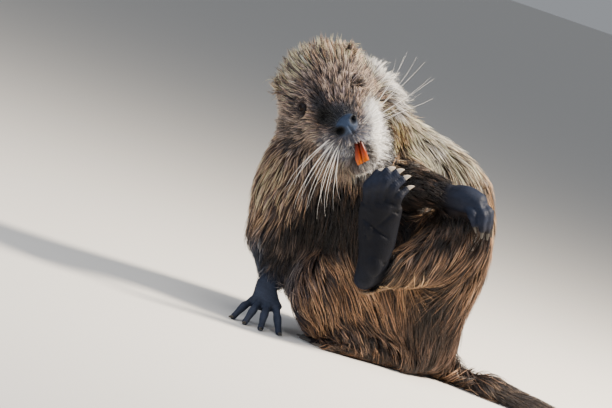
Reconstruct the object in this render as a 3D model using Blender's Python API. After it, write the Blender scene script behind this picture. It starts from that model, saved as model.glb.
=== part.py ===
"""A life-size coypu that sits, leans on its right arm and scratches its chin with its left hind foot.

All sizes and places are in millimetres, and become metres as each mesh is made. Three frames are
used. The floor frame has X to the animal's left, Y behind it and the floor at Z = 0. It is set so
that the middle of the flat under the rump, at SEAT, comes to the world's origin. The pose frame is
the floor frame turned by LEAN to the animal's right, so its Z runs up the spine of the leaning
animal. The head frame starts at the tip of the nose, with X to the animal's left, Y to the back of
the skull and Z to the crown.

A form is a round-ended tube through stations of (x, y, z, half width, half depth). The forms of
flesh are fused into one smooth body, and cells cut that body into its named parts with thin gaps.
"""

import math

import bmesh
import bpy
from mathutils import Matrix, Vector

MM = 0.001
GAP = 0.3
PAW_GAP = 2.0
FLAT_END_REACH = 1.0
CELL_MARGIN = 9.0
SOLVER = "EXACT"
FLAT_ANGLE = math.radians(0.5)
BODY_VOXEL = 5.0
BODY_TRIANGLES = 1740
PAW_VOXEL = 1.6
PAW_TRIANGLES = 180

LEAN = math.radians(19)
NOSE_TIP = Vector((-90, -128, 285))
HEAD_ROLL = math.radians(26)
HEAD_YAW = math.radians(4)
HEAD_PITCH = math.radians(14)

SEAT = Vector((-40, 20, 0))
FLOOR = Matrix.Translation(-SEAT)
POSE = FLOOR @ Matrix.Rotation(-LEAN, 4, "Y")
HEAD = (
    POSE
    @ Matrix.Translation(NOSE_TIP)
    @ Matrix.Rotation(-HEAD_ROLL, 4, "Y")
    @ Matrix.Rotation(HEAD_YAW, 4, "Z")
    @ Matrix.Rotation(HEAD_PITCH, 4, "X")
)

# ---------------------------------------------------------------- the forms of flesh

TRUNK = [
    (-16, 14, 34, 44, 56),
    (-30, 22, 66, 60, 72),
    (-50, 26, 108, 78, 82),
    (-66, 20, 152, 88, 82),
    (-78, 10, 196, 90, 74),
    (-92, -4, 236, 86, 64),
    (-95, -14, 272, 77, 58),
    (-95, -18, 298, 67, 54),
]
BACK = [
    (-14, 34, 58, 44, 46),
    (2, 42, 96, 50, 54),
    (13, 46, 134, 54, 58),
    (8, 42, 184, 67, 58),
    (-24, 24, 218, 62, 54),
    (-58, 6, 246, 58, 50),
    (-84, -10, 284, 54, 50),
]
SKULL = [
    (0, 7, -10, 17, 16),
    (0, 16, -13, 26, 23),
    (0, 34, -11, 33, 31),
    (0, 58, -4, 42, 41),
    (0, 84, 4, 51, 51),
    (0, 108, 7, 55, 55),
    (0, 130, 0, 55, 53),
]
JAW = [
    (0, 19, -55, 13, 10),
    (0, 38, -50, 22, 17),
    (0, 64, -40, 34, 26),
    (0, 96, -30, 44, 36),
]
RIGHT_UPPER_ARM = [(-134, -10, 234, 51, 46), (-150, -8, 190, 50, 46), (-162, -8, 150, 38, 36)]
RIGHT_FOREARM = [
    (-163, -10, 150, 35, 34),
    (-169, -22, 126, 24, 24),
    (-173, -34, 112, 14, 14),
    (-177, -43, 98, 11, 10),
]
LEFT_UPPER_ARM = [(-52, -18, 222, 42, 40), (-28, -44, 216, 27, 27)]
LEFT_FOREARM = [(-28, -44, 215, 26, 26), (0, -62, 213, 21, 21), (22, -74, 206, 14, 13)]
RIGHT_THIGH = [(-45, 8, 68, 54, 54), (-84, -12, 84, 52, 52), (-116, -32, 100, 48, 44)]
RIGHT_SHIN = [(-112, -40, 84, 30, 30), (-84, -38, 56, 26, 26), (-52, -32, 36, 18, 18)]
LEFT_THIGH = [
    (-8, 0, 42, 40, 42),
    (-2, -12, 84, 44, 47),
    (14, -28, 130, 50, 50),
    (33, -45, 166, 38, 38),
    (42, -54, 184, 25, 25),
]
LEFT_SHIN = [
    (40, -60, 168, 31, 28),
    (-2, -78, 140, 31, 27),
    (-42, -95, 126, 19, 17),
    (-62, -102, 120, 13, 13),
]
TAIL_LENGTH = 380
TAIL_ROOT = Vector((6, 16, 0))
TAIL_ROOT_RADIUS = 17.5
TAIL_TIP_RADIUS = 5
TAIL_PRESS = 1.8
TAIL_TURN = (math.radians(20), math.radians(50))


def tail_stations():
    """The tail lies on the floor, curving from beside the seat towards the front."""
    count = 13
    step = TAIL_LENGTH / (count - 1)
    place = TAIL_ROOT.copy()
    stations = []
    for index in range(count):
        share = index / (count - 1)
        radius = TAIL_ROOT_RADIUS + (TAIL_TIP_RADIUS - TAIL_ROOT_RADIUS) * share**0.8
        stations.append((place.x, place.y, radius - TAIL_PRESS, radius, radius))
        turn = TAIL_TURN[0] + (TAIL_TURN[1] - TAIL_TURN[0]) * share
        place += Vector((math.cos(turn), -math.sin(turn), 0)) * step
    return stations


# ---------------------------------------------------------------- mesh tools


def clear_scene():
    for obj in list(bpy.data.objects):
        bpy.data.objects.remove(obj)


def smooth_stations(stations, steps):
    """Catmull-Rom points through the stations, with steps points for each span."""
    rows = [Vector(row) for row in stations]
    rows = [rows[0] * 2 - rows[1]] + rows + [rows[-1] * 2 - rows[-2]]
    result = []
    for index in range(1, len(rows) - 2):
        before, start, end, after = rows[index - 1 : index + 3]
        for step in range(steps):
            t = step / steps
            result.append(
                0.5
                * (
                    2 * start
                    + (end - before) * t
                    + (2 * before - 5 * start + 4 * end - after) * t**2
                    + (3 * start - before - 3 * end + after) * t**3
                )
            )
    result.append(rows[-2])
    return result


def add_tube(
    mesh,
    stations,
    frame,
    side=(1, 0, 0),
    sides=14,
    steps=2,
    growth=0.0,
    blunt=(0.9, 0.9),
    caps=(28, 58),
    flat_ends=(),
):
    """Add one closed tube to a bmesh. growth fattens it all round. A round end bulges past its last
    station by blunt times its radius, through rings at the angles of caps. A flat end is cut square."""
    rows = smooth_stations(stations, steps)
    places = [Vector(row[:3]) for row in rows]
    side = Vector(side)
    last = len(rows) - 1
    tangents = [(places[min(i + 1, last)] - places[max(i - 1, 0)]).normalized() for i in range(last + 1)]
    rings = []

    def add_ring(index, shift, shrink):
        tangent = tangents[index]
        across = (side - tangent * side.dot(tangent)).normalized()
        deep = tangent.cross(across)
        across = across * (rows[index][3] + growth) * shrink
        deep = deep * (rows[index][4] + growth) * shrink
        centre = places[index] + tangent * shift
        angles = [2 * math.pi * number / sides for number in range(sides)]
        ring = [centre + across * math.cos(angle) + deep * math.sin(angle) for angle in angles]
        rings.append([mesh.verts.new(frame @ place * MM) for place in ring])

    def end_rings(index, end):
        """The shifts and shrinks of an end's rings, and the shift of its pole."""
        if end in flat_ends:
            return [(FLAT_END_REACH + growth, 1.0)], FLAT_END_REACH + growth
        reach = (min(rows[index][3], rows[index][4]) + growth) * blunt[end]
        turns = [math.radians(angle) for angle in caps]
        return [(reach * math.sin(turn), math.cos(turn)) for turn in turns], reach

    start_rings, start_reach = end_rings(0, 0)
    finish_rings, finish_reach = end_rings(last, 1)
    for shift, shrink in reversed(start_rings):
        add_ring(0, -shift, shrink)
    for index in range(last + 1):
        add_ring(index, 0.0, 1.0)
    for shift, shrink in finish_rings:
        add_ring(last, shift, shrink)
    start_pole = mesh.verts.new(frame @ (places[0] - tangents[0] * start_reach) * MM)
    finish_pole = mesh.verts.new(frame @ (places[last] + tangents[last] * finish_reach) * MM)
    for ring, following in zip(rings, rings[1:]):
        for number in range(sides):
            after = (number + 1) % sides
            mesh.faces.new((ring[number], ring[after], following[after], following[number]))
    for number in range(sides):
        after = (number + 1) % sides
        mesh.faces.new((start_pole, rings[0][after], rings[0][number]))
        mesh.faces.new((finish_pole, rings[-1][number], rings[-1][after]))


def add_ball(mesh, centre, radii, frame, sides=14, rings=9):
    scale = Matrix.Diagonal((*[radius * MM for radius in radii], 1))
    matrix = Matrix.Translation(frame @ Vector(centre) * MM) @ frame.to_3x3().to_4x4() @ scale
    bmesh.ops.create_uvsphere(mesh, u_segments=sides, v_segments=rings, radius=1, matrix=matrix)


def make_object(name, mesh):
    bmesh.ops.recalc_face_normals(mesh, faces=mesh.faces)
    bmesh.ops.triangulate(mesh, faces=mesh.faces)
    data = bpy.data.meshes.new(name)
    mesh.to_mesh(data)
    mesh.free()
    obj = bpy.data.objects.new(name, data)
    bpy.context.collection.objects.link(obj)
    return obj


def tube_maker(name, stations, frame, growth=0.0, **options):
    """A function that makes a tube, fatter by the distance it is given."""

    def make(extra=0.0):
        mesh = bmesh.new()
        add_tube(mesh, stations, frame, growth=growth + extra, **options)
        return make_object(name, mesh)

    return make


def apply_modifiers(obj):
    graph = bpy.context.evaluated_depsgraph_get()
    baked = bpy.data.meshes.new_from_object(obj.evaluated_get(graph))
    obj.modifiers.clear()
    obj.data = baked


def cut(obj, cutter, operation="DIFFERENCE"):
    modifier = obj.modifiers.new("cut", "BOOLEAN")
    modifier.operation = operation
    modifier.solver = SOLVER
    modifier.object = cutter
    apply_modifiers(obj)


def copy_object(obj, name):
    copied = obj.copy()
    copied.data = obj.data.copy()
    copied.name = name
    bpy.context.collection.objects.link(copied)
    return copied


def clear_of(obj, maker, gap=GAP):
    """Cut an object back so that it keeps a gap to the solid that a maker makes."""
    cutter = maker(gap)
    cut(obj, cutter)
    bpy.data.objects.remove(cutter)


def keep_largest(obj):
    """Drop the crumbs that a cut leaves, and keep the largest closed body."""
    mesh = bmesh.new()
    mesh.from_mesh(obj.data)
    unseen = set(mesh.faces)
    bodies = []
    while unseen:
        front = [unseen.pop()]
        body = list(front)
        while front:
            face = front.pop()
            for edge in face.edges:
                for neighbour in edge.link_faces:
                    if neighbour in unseen:
                        unseen.remove(neighbour)
                        front.append(neighbour)
                        body.append(neighbour)
        bodies.append(body)
    bodies.sort(key=lambda body: sum(face.calc_area() for face in body))
    crumbs = [face for body in bodies[:-1] for face in body]
    bmesh.ops.delete(mesh, geom=crumbs, context="FACES")
    mesh.to_mesh(obj.data)
    mesh.free()


def fuse(obj, voxel, triangles, smoothing):
    """Fuse overlapping forms into one smooth skin of about the given number of triangles."""
    remesh = obj.modifiers.new("fuse", "REMESH")
    remesh.mode = "VOXEL"
    remesh.voxel_size = voxel * MM
    smooth = obj.modifiers.new("smooth", "SMOOTH")
    smooth.factor = 0.5
    smooth.iterations = smoothing
    apply_modifiers(obj)
    quads = len(obj.data.polygons)
    decimate = obj.modifiers.new("decimate", "DECIMATE")
    decimate.ratio = min(1.0, triangles / (2 * quads))
    apply_modifiers(obj)


def merge_flat_faces(obj):
    """Join the faces that a cut has split but that still lie in one plane."""
    mesh = bmesh.new()
    mesh.from_mesh(obj.data)
    bmesh.ops.dissolve_limit(mesh, angle_limit=FLAT_ANGLE, verts=mesh.verts, edges=mesh.edges)
    mesh.to_mesh(obj.data)
    mesh.free()


def box_maker(name, low, high, frame=FLOOR):
    def make(extra=0.0):
        mesh = bmesh.new()
        bmesh.ops.create_cube(mesh, size=1)
        for vertex in mesh.verts:
            share = [0.5 + co for co in vertex.co]
            local = Vector(low[i] - extra + (high[i] - low[i] + 2 * extra) * share[i] for i in range(3))
            vertex.co = frame @ local * MM
        return make_object(name, mesh)

    return make


def stand_on_floor(obj):
    floor = box_maker("floor", (-600, -600, -200), (900, 600, 0))()
    cut(obj, floor)
    bpy.data.objects.remove(floor)


# ---------------------------------------------------------------- hands and feet

# A digit runs from its knuckle by its middle joint to its tip: three (x, y, z) places and a radius.
RIGHT_PALM = [(-205, -38, 46, 11, 9), (-200, -46, 34, 15, 9), (-197, -54, 24, 19, 8)]
RIGHT_FINGERS = {
    "1": [(-212, -54, 24), (-219, -64, 16), (-226, -76, 2.8), 4.6],
    "2": [(-204, -58, 24), (-208, -72, 16), (-212, -88, 2.8), 4.8],
    "3": [(-195, -58, 24), (-195, -74, 16), (-194, -92, 2.8), 4.8],
    "4": [(-185, -55, 24), (-180, -67, 15), (-174, -80, 2.8), 4.6],
}
LEFT_PALM = [(18, -73, 206, 14, 12), (36, -80, 203, 16, 14), (48, -84, 199, 14, 14)]
LEFT_FINGERS = {
    "1": [(40, -90, 196), (44, -97, 188), (46, -98, 178), 6.0],
    "2": [(50, -93, 198), (55, -98, 188), (54, -99, 172), 5.2],
    "3": [(54, -87, 200), (61, -91, 190), (60, -92, 170), 5.2],
    "4": [(55, -79, 200), (63, -82, 190), (64, -83, 172), 5.0],
}
RIGHT_SOLE = [(-30, -30, 11, 11, 12), (-62, -36, 10, 14, 12), (-98, -44, 8, 22, 9)]
RIGHT_TOES = {
    "1": [(-100, -26, 7), (-112, -22, 5.5), (-124, -19, 3.2), 4.6],
    "2": [(-104, -35, 7), (-120, -33, 5.5), (-136, -31, 3.2), 4.8],
    "3": [(-105, -44, 7), (-124, -44, 5.5), (-142, -44, 3.2), 5.0],
    "4": [(-103, -53, 7), (-121, -56, 5.5), (-138, -58, 3.2), 5.0],
    "5": [(-98, -61, 7), (-112, -66, 5.5), (-125, -71, 3.2), 4.6],
}
LEFT_SOLE = [
    (-70, -106, 120, 13, 13),
    (-60, -111, 146, 18, 12),
    (-56, -115, 180, 22, 10),
    (-53, -119, 200, 23, 9),
]
LEFT_TOES = {
    "1": [(-70, -119, 200), (-71, -123, 216), (-65, -118, 227), 5.2],
    "2": [(-62, -120, 203), (-62, -125, 221), (-55, -119, 235), 5.4],
    "3": [(-53, -120, 205), (-51, -125, 224), (-44, -119, 238), 5.4],
    "4": [(-44, -120, 203), (-40, -125, 220), (-35, -119, 232), 5.2],
    "5": [(-37, -119, 198), (-32, -122, 210), (-28, -117, 220), 4.8],
}
CLAW_LENGTH = {"hand": 9, "foot": 13}
DIGIT_SIDE = (0.2, 0.5, 1)


def digit_stations(knuckle, joint, tip, radius):
    shares = {knuckle: 1.15, joint: 1.0, tip: 0.8}
    return [(*place, radius * share, radius * share) for place, share in shares.items()]


def claw_stations(joint, tip, radius, length):
    """A claw starts inside the fingertip and runs on past it, drooping a little."""
    forward = (Vector(tip) - Vector(joint)).normalized()
    root = Vector(tip) - forward * radius * 0.2
    middle = Vector(tip) + forward * length * 0.55
    point = Vector(tip) + forward * length
    return [
        (*root, radius * 0.5, radius * 0.55),
        (*middle, radius * 0.36, radius * 0.42),
        (*point, radius * 0.12, radius * 0.14),
    ]


def paw_maker(name, palm, palm_side, digits, frame):
    """A function that makes a bare hand or foot: a palm or sole fused with its digits."""

    def make(extra=0.0):
        mesh = bmesh.new()
        add_tube(mesh, palm, frame, side=palm_side, growth=extra)
        for knuckle, joint, tip, radius in digits.values():
            stations = digit_stations(knuckle, joint, tip, radius)
            add_tube(mesh, stations, frame, side=DIGIT_SIDE, sides=10, growth=extra)
        paw = make_object(name, mesh)
        fuse(paw, PAW_VOXEL, PAW_TRIANGLES, smoothing=2)
        return paw

    return make


def claw_makers(name, digits, frame, level_claws):
    makers = {}
    for number, (_, joint, tip, radius) in digits.items():
        if level_claws:
            joint = (*joint[:2], tip[2])
        stations = claw_stations(joint, tip, radius, CLAW_LENGTH[name[:4]])
        claw = f"claw_{name}_{number}"
        makers[claw] = tube_maker(claw, stations, frame, side=DIGIT_SIDE, sides=5, steps=1, caps=())
    return makers


# ---------------------------------------------------------------- face

EYE_RADIUS = 5.2
EYE_PLACE = (31, 57, 25)
EAR = [(38, 98, 34, 9, 4), (43, 101, 43, 11, 3.2), (47, 103, 50, 8, 2.4)]
EAR_WIDTH_AXIS = (-0.6, -0.35, 0.7)
NOSE = [(0, 4, -2, 13, 8), (0, 12, -4, 13, 9)]
INCISOR_WIDTH = 7.0
INCISOR = [(0, 12, -20), (0, 5, -32), (0, 7, -46)]


def mirrored(stations, side):
    return [(side * row[0], *row[1:]) for row in stations]


def eye_maker(name, side):
    def make(extra=0.0):
        mesh = bmesh.new()
        place = (side * EYE_PLACE[0], EYE_PLACE[1], EYE_PLACE[2])
        add_ball(mesh, place, (EYE_RADIUS + extra,) * 3, HEAD, sides=8, rings=6)
        return make_object(name, mesh)

    return make


def ear_maker(name, side):
    width_axis = (side * EAR_WIDTH_AXIS[0], *EAR_WIDTH_AXIS[1:])
    return tube_maker(name, mirrored(EAR, side), HEAD, side=width_axis, sides=8, steps=1, caps=(45,))


def incisor_maker(name, side):
    half = INCISOR_WIDTH / 2
    stations = [(side * (half + GAP / 2), y, z, half, 2.4) for _, y, z in INCISOR]
    return tube_maker(name, stations, HEAD, sides=6, steps=1, blunt=(0.3, 0.25), caps=())


# ---------------------------------------------------------------- the whole body and its parts


def flesh_forms():
    """Every form of flesh: its stations, its frame and its options, by the part's name."""
    tail = tail_stations()
    return {
        "trunk": (TRUNK, POSE, {"sides": 20, "blunt": (0.62, 1.0)}),
        "back": (BACK, POSE, {"sides": 18}),
        "head": (SKULL, HEAD, {"sides": 18, "blunt": (0.7, 0.8)}),
        "lower_jaw": (JAW, HEAD, {"blunt": (0.6, 0.5)}),
        "upper_arm_right": (RIGHT_UPPER_ARM, POSE, {}),
        "forearm_right": (RIGHT_FOREARM, POSE, {}),
        "upper_arm_left": (LEFT_UPPER_ARM, POSE, {"side": (0, 0, 1)}),
        "forearm_left": (LEFT_FOREARM, POSE, {"side": (0, 0, 1)}),
        "thigh_right": (RIGHT_THIGH, POSE, {"side": (0, 0, 1)}),
        "shin_right": (RIGHT_SHIN, POSE, {"side": (0, 0, 1)}),
        "thigh_left": (LEFT_THIGH, POSE, {}),
        "shin_left": (LEFT_SHIN, POSE, {"side": (0, 0, 1)}),
        "tail": (tail, FLOOR, {"side": (0, 0, 1), "steps": 1}),
    }


def make_body(forms):
    mesh = bmesh.new()
    for stations, frame, options in forms.values():
        add_tube(mesh, stations, frame, **options)
    body = make_object("body", mesh)
    fuse(body, BODY_VOXEL, BODY_TRIANGLES, smoothing=8)
    stand_on_floor(body)
    return body


def take_part(body, name, maker):
    """Take the part of the body that lies in a cell, and leave a thin gap round it."""
    part = copy_object(body, name)
    cell = maker()
    cut(part, cell, "INTERSECT")
    bpy.data.objects.remove(cell)
    keep_largest(part)
    clear_of(body, maker)
    keep_largest(body)
    return part


def cell_maker(forms, name):
    """A coarser, fatter form of a part. It is cut off square where the part joins its neighbour."""
    stations, frame, options = forms[name]
    options = {**options, "sides": 8, "steps": 1, "caps": (45,), "flat_ends": CELL_FLAT_ENDS[name]}
    return tube_maker("cell", stations, frame, growth=CELL_MARGIN, **options)


def set_material(obj, name, color, roughness):
    material = bpy.data.materials.get(name) or bpy.data.materials.new(name)
    material.use_nodes = True
    shader = material.node_tree.nodes["Principled BSDF"]
    shader.inputs["Base Color"].default_value = (*color, 1)
    shader.inputs["Roughness"].default_value = roughness
    shader.inputs["Metallic"].default_value = 0
    obj.data.materials.clear()
    obj.data.materials.append(material)
    obj.data.shade_smooth()


FUR = ((0.16, 0.095, 0.05), 0.75)
SKIN = ((0.028, 0.03, 0.036), 0.55)
HORN = ((0.05, 0.045, 0.04), 0.4)
ENAMEL = ((0.8, 0.22, 0.02), 0.3)
EYE = ((0.012, 0.01, 0.009), 0.12)

CELL_FLAT_ENDS = {
    "forearm_right": (0,),
    "upper_arm_right": (0,),
    "forearm_left": (0,),
    "upper_arm_left": (0,),
    "shin_left": (0,),
    "thigh_left": (0,),
    "shin_right": (0,),
    "thigh_right": (0,),
    "lower_jaw": (1,),
    "head": (1,),
}
TAIL_PARTS = ["tail_base", "tail_middle", "tail_tip"]
TAIL_FIRST_STATION = 2
TRUNK_PARTS = {"neck": (256, 600), "chest": (170, 256), "abdomen": (88, 170)}


def make_tail_parts(body, forms):
    """The tail in three lengths, cut square across at a third and two thirds of its stations."""
    stations, frame, options = forms["tail"]
    options = {**options, "sides": 8, "caps": (45,), "flat_ends": (0,)}
    count = (len(stations) - 1) // 3
    parts = []
    for index, name in reversed(list(enumerate(TAIL_PARTS))):
        rows = stations[max(index * count, TAIL_FIRST_STATION) : (index + 1) * count + 1]
        maker = tube_maker("cell", rows, frame, growth=CELL_MARGIN, **options)
        parts.append(take_part(body, name, maker))
    return parts


def make_trunk_parts(body):
    parts = []
    for name, (low, high) in TRUNK_PARTS.items():
        maker = box_maker("cell", (-400, -400, low), (400, 400, high), POSE)
        parts.append(take_part(body, name, maker))
    body.name = "rump"
    return parts + [body]


def make_all(makers):
    return {name: maker() for name, maker in makers.items()}


def main():
    clear_scene()
    forms = flesh_forms()
    body = make_body(forms)
    paw_rows = {
        "hand_right": (RIGHT_PALM, (1, 0, 0), RIGHT_FINGERS, FLOOR, True),
        "hand_left": (LEFT_PALM, (0, 0, 1), LEFT_FINGERS, POSE, False),
        "foot_right": (RIGHT_SOLE, (0, 1, 0), RIGHT_TOES, FLOOR, True),
        "foot_left": (LEFT_SOLE, (1, 0, 0), LEFT_TOES, POSE, False),
    }
    paws = {}
    claws = {}
    for name, (palm, palm_side, digits, frame, level_claws) in paw_rows.items():
        own_claws = claw_makers(name, digits, frame, level_claws)
        paw = paw_maker(name, palm, palm_side, digits, frame)
        clear_of(body, paw, PAW_GAP)
        paws[name] = paw()
        stand_on_floor(paws[name])
        for claw in own_claws.values():
            clear_of(paws[name], claw)
        keep_largest(paws[name])
        claws.update(own_claws)
    sides = {"right": -1, "left": 1}
    teeth = {f"incisor_{word}": incisor_maker(f"incisor_{word}", side) for word, side in sides.items()}
    eyes = {f"eye_{word}": eye_maker(f"eye_{word}", side) for word, side in sides.items()}
    ears = {f"ear_{word}": ear_maker(f"ear_{word}", side) for word, side in sides.items()}
    nose = {"nose": tube_maker("nose", NOSE, HEAD, sides=12, steps=1, caps=(45,))}
    for maker in {**claws, **teeth, **eyes, **ears, **nose}.values():
        clear_of(body, maker)
    keep_largest(body)
    flesh = [take_part(body, name, cell_maker(forms, name)) for name in CELL_FLAT_ENDS]
    flesh += make_tail_parts(body, forms)
    flesh += make_trunk_parts(body)
    for obj in flesh + list(paws.values()):
        merge_flat_faces(obj)
    for obj in flesh + list(make_all(ears).values()):
        set_material(obj, "fur", *FUR)
    for obj in list(paws.values()) + list(make_all(nose).values()):
        set_material(obj, "bare_skin", *SKIN)
    for obj in make_all(claws).values():
        set_material(obj, "horn", *HORN)
    for obj in make_all(teeth).values():
        set_material(obj, "enamel", *ENAMEL)
    for obj in make_all(eyes).values():
        set_material(obj, "eye", *EYE)


main()
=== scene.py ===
"""The looks of a life-size sitting coypu.

One skin covers the flesh of the frame's solids, and lies under them by the depth of the coat. A coat
of solid locks grows from it and ends at the solids' outline. Eyes, teeth and claws are pieces of
their own. All working sizes are in millimetres, and become metres as each mesh is made.

Three frames are as in the part's source. FLOOR has X to the animal's left, Y behind it and the floor
at Z = 0. POSE is FLOOR turned by LEAN, so its Z runs up the leaning spine. HEAD starts at the tip of
the nose, with X to the animal's left, Y to the back of the skull and Z to the crown. NOSE, a fourth,
is HEAD moved to the middle of the nose pad and rolled a little further.
"""

import math

import bmesh
import bpy
import numpy as np
from mathutils import Matrix, Vector, kdtree
from mathutils.bvhtree import BVHTree


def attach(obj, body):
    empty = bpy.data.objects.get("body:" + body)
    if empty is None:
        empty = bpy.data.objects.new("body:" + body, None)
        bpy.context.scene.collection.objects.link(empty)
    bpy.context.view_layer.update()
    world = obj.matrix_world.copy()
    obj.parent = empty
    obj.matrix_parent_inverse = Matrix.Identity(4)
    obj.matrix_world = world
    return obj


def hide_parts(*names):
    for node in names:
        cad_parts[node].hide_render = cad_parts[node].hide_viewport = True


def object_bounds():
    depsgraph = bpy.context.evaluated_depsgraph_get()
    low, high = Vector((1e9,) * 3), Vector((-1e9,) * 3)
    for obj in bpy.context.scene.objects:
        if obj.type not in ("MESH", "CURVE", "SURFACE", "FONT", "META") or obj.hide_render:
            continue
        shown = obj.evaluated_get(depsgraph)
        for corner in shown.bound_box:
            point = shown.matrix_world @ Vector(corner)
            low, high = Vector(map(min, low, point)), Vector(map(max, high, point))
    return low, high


bl_info = {
    "name": "Coypu looks",
    "version": (1, 0, 0),
    "blender": (4, 5, 0),
    "location": "View3D > Sidebar > Coypu",
    "description": "Skin, coat, face and paws of a sitting coypu",
    "category": "Object",
}

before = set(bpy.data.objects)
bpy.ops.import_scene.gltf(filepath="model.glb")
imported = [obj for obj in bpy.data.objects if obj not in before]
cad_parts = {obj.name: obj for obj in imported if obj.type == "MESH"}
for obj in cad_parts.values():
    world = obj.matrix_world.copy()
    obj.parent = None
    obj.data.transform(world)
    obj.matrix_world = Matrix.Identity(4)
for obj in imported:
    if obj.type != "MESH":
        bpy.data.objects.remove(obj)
CAD_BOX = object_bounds()

MM = 0.001
ROOT = "root"
SEED = 7

LEAN = math.radians(19)
SEAT = Vector((-40, 20, 0))
NOSE_TIP = Vector((-90, -128, 285))
HEAD_ROLL = math.radians(26)
HEAD_YAW = math.radians(4)
HEAD_PITCH = math.radians(14)

FLOOR = Matrix.Translation(-SEAT)
POSE = FLOOR @ Matrix.Rotation(-LEAN, 4, "Y")
HEAD = (
    POSE
    @ Matrix.Translation(NOSE_TIP)
    @ Matrix.Rotation(-HEAD_ROLL, 4, "Y")
    @ Matrix.Rotation(HEAD_YAW, 4, "Z")
    @ Matrix.Rotation(HEAD_PITCH, 4, "X")
)

NOSE_SHIFT = (1.5, 0, 0.5)
NOSE_ROLL = math.radians(13)
NOSE = HEAD @ Matrix.Translation(NOSE_SHIFT) @ Matrix.Rotation(-NOSE_ROLL, 4, "Y")

# Sides are 1 for the animal's left and -1 for its right. The left eye is shut, with fur over it.
LEFT, RIGHT = 1, -1
SIDES = (LEFT, RIGHT)
SIDE_WORDS = {LEFT: "left", RIGHT: "right"}
EYE_PLACE = (32, 57, 22)
EYE_RADIUS = 5.2
BARE_PAST_EYE = {LEFT: -6.0, RIGHT: 0.6}
BARE_FADE = 1.2


# ---------------------------------------------------------------- number helpers


def placed(points, matrix):
    """Rows of points in millimetres, moved by a 4 by 4 matrix."""
    rows = np.array(matrix)
    return points @ rows[:3, :3].T + rows[:3, 3]


def turned(directions, matrix):
    return directions @ np.array(matrix)[:3, :3].T


def unit(rows):
    return rows / np.maximum(np.linalg.norm(rows, axis=-1, keepdims=True), 1e-9)


def smooth_step(values, start, end):
    share = np.clip((values - start) / (end - start), 0, 1)
    return share * share * (3 - 2 * share)


def ridge(values, middle, width):
    """1 at the middle, and falling to 0 over about twice the width."""
    return np.exp(-(((values - middle) / width) ** 2))


def oval_reach(points, centre, radii):
    """How far out each point lies from an oval's centre, with 1 at its edge."""
    return np.linalg.norm((points - np.asarray(centre, float)) / np.asarray(radii, float), axis=1)


def mirrored(place, side):
    return np.array(place) * (side, 1, 1)


WAVES = 7
WAVE_SIZES = (0.6, 1.6)
WAVE_SUM = 3.2


def waves(points, size, seed):
    """Smooth noise of about -1 to 1, as a sum of sine waves in random directions."""
    source = np.random.default_rng(seed)
    total = np.zeros(len(points))
    for _ in range(WAVES):
        heading = unit(source.normal(size=3)) * 2 * math.pi / (size * source.uniform(*WAVE_SIZES))
        total += np.sin(points @ heading + source.uniform(0, 2 * math.pi))
    return total / WAVE_SUM


def in_box(points, box):
    return ((points > box[0]) & (points < box[1])).all(1)


# ---------------------------------------------------------------- mesh helpers


def new_object(name, places, faces):
    """A mesh object from places in millimetres and rows of vertex numbers."""
    mesh = bpy.data.meshes.new(name)
    mesh.from_pydata((np.asarray(places) * MM).tolist(), [], [list(face) for face in faces])
    mesh.update()
    obj = bpy.data.objects.new(name, mesh)
    bpy.context.scene.collection.objects.link(obj)
    return obj


def fast_object(name, places, triangles):
    """As new_object, for many thousands of triangles."""
    mesh = bpy.data.meshes.new(name)
    mesh.vertices.add(len(places))
    mesh.vertices.foreach_set("co", (places * MM).astype(np.float32).ravel())
    mesh.loops.add(len(triangles) * 3)
    mesh.loops.foreach_set("vertex_index", triangles.astype(np.int32).ravel())
    mesh.polygons.add(len(triangles))
    mesh.polygons.foreach_set("loop_start", np.arange(0, len(triangles) * 3, 3, dtype=np.int32))
    mesh.update(calc_edges=True)
    mesh.shade_smooth()
    obj = bpy.data.objects.new(name, mesh)
    bpy.context.scene.collection.objects.link(obj)
    return obj


def bake_modifiers(obj):
    graph = bpy.context.evaluated_depsgraph_get()
    mesh = bpy.data.meshes.new_from_object(obj.evaluated_get(graph))
    obj.modifiers.clear()
    old = obj.data
    obj.data = mesh
    bpy.data.meshes.remove(old)


def mesh_places(mesh):
    places = np.empty(len(mesh.vertices) * 3, np.float32)
    mesh.vertices.foreach_get("co", places)
    return places.reshape(-1, 3).astype(float) / MM


def mesh_normals(mesh):
    normals = np.empty(len(mesh.vertices) * 3, np.float32)
    mesh.vertex_normals.foreach_get("vector", normals)
    return normals.reshape(-1, 3).astype(float)


def mesh_edges(mesh):
    edges = np.empty(len(mesh.edges) * 2, np.int32)
    mesh.edges.foreach_get("vertices", edges)
    return edges.reshape(-1, 2)


def mesh_triangles(mesh):
    mesh.calc_loop_triangles()
    triangles = np.empty(len(mesh.loop_triangles) * 3, np.int32)
    mesh.loop_triangles.foreach_get("vertices", triangles)
    return triangles.reshape(-1, 3)


def set_places(mesh, places):
    mesh.vertices.foreach_set("co", (places * MM).astype(np.float32).ravel())
    mesh.update()


RELAX_PULL = 0.6


def relax(values, edges, rounds, weight=1.0):
    """Pull each row of values towards the mean of its neighbours, round by round."""
    count = len(values)
    links = np.bincount(edges.ravel(), minlength=count)[:, None]
    for _ in range(rounds):
        total = np.zeros_like(values)
        for column in range(values.shape[1]):
            first = np.bincount(edges[:, 0], values[edges[:, 1], column], count)
            second = np.bincount(edges[:, 1], values[edges[:, 0], column], count)
            total[:, column] = first + second
        values = values + (total / np.maximum(links, 1) - values) * RELAX_PULL * weight
    return values


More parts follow.
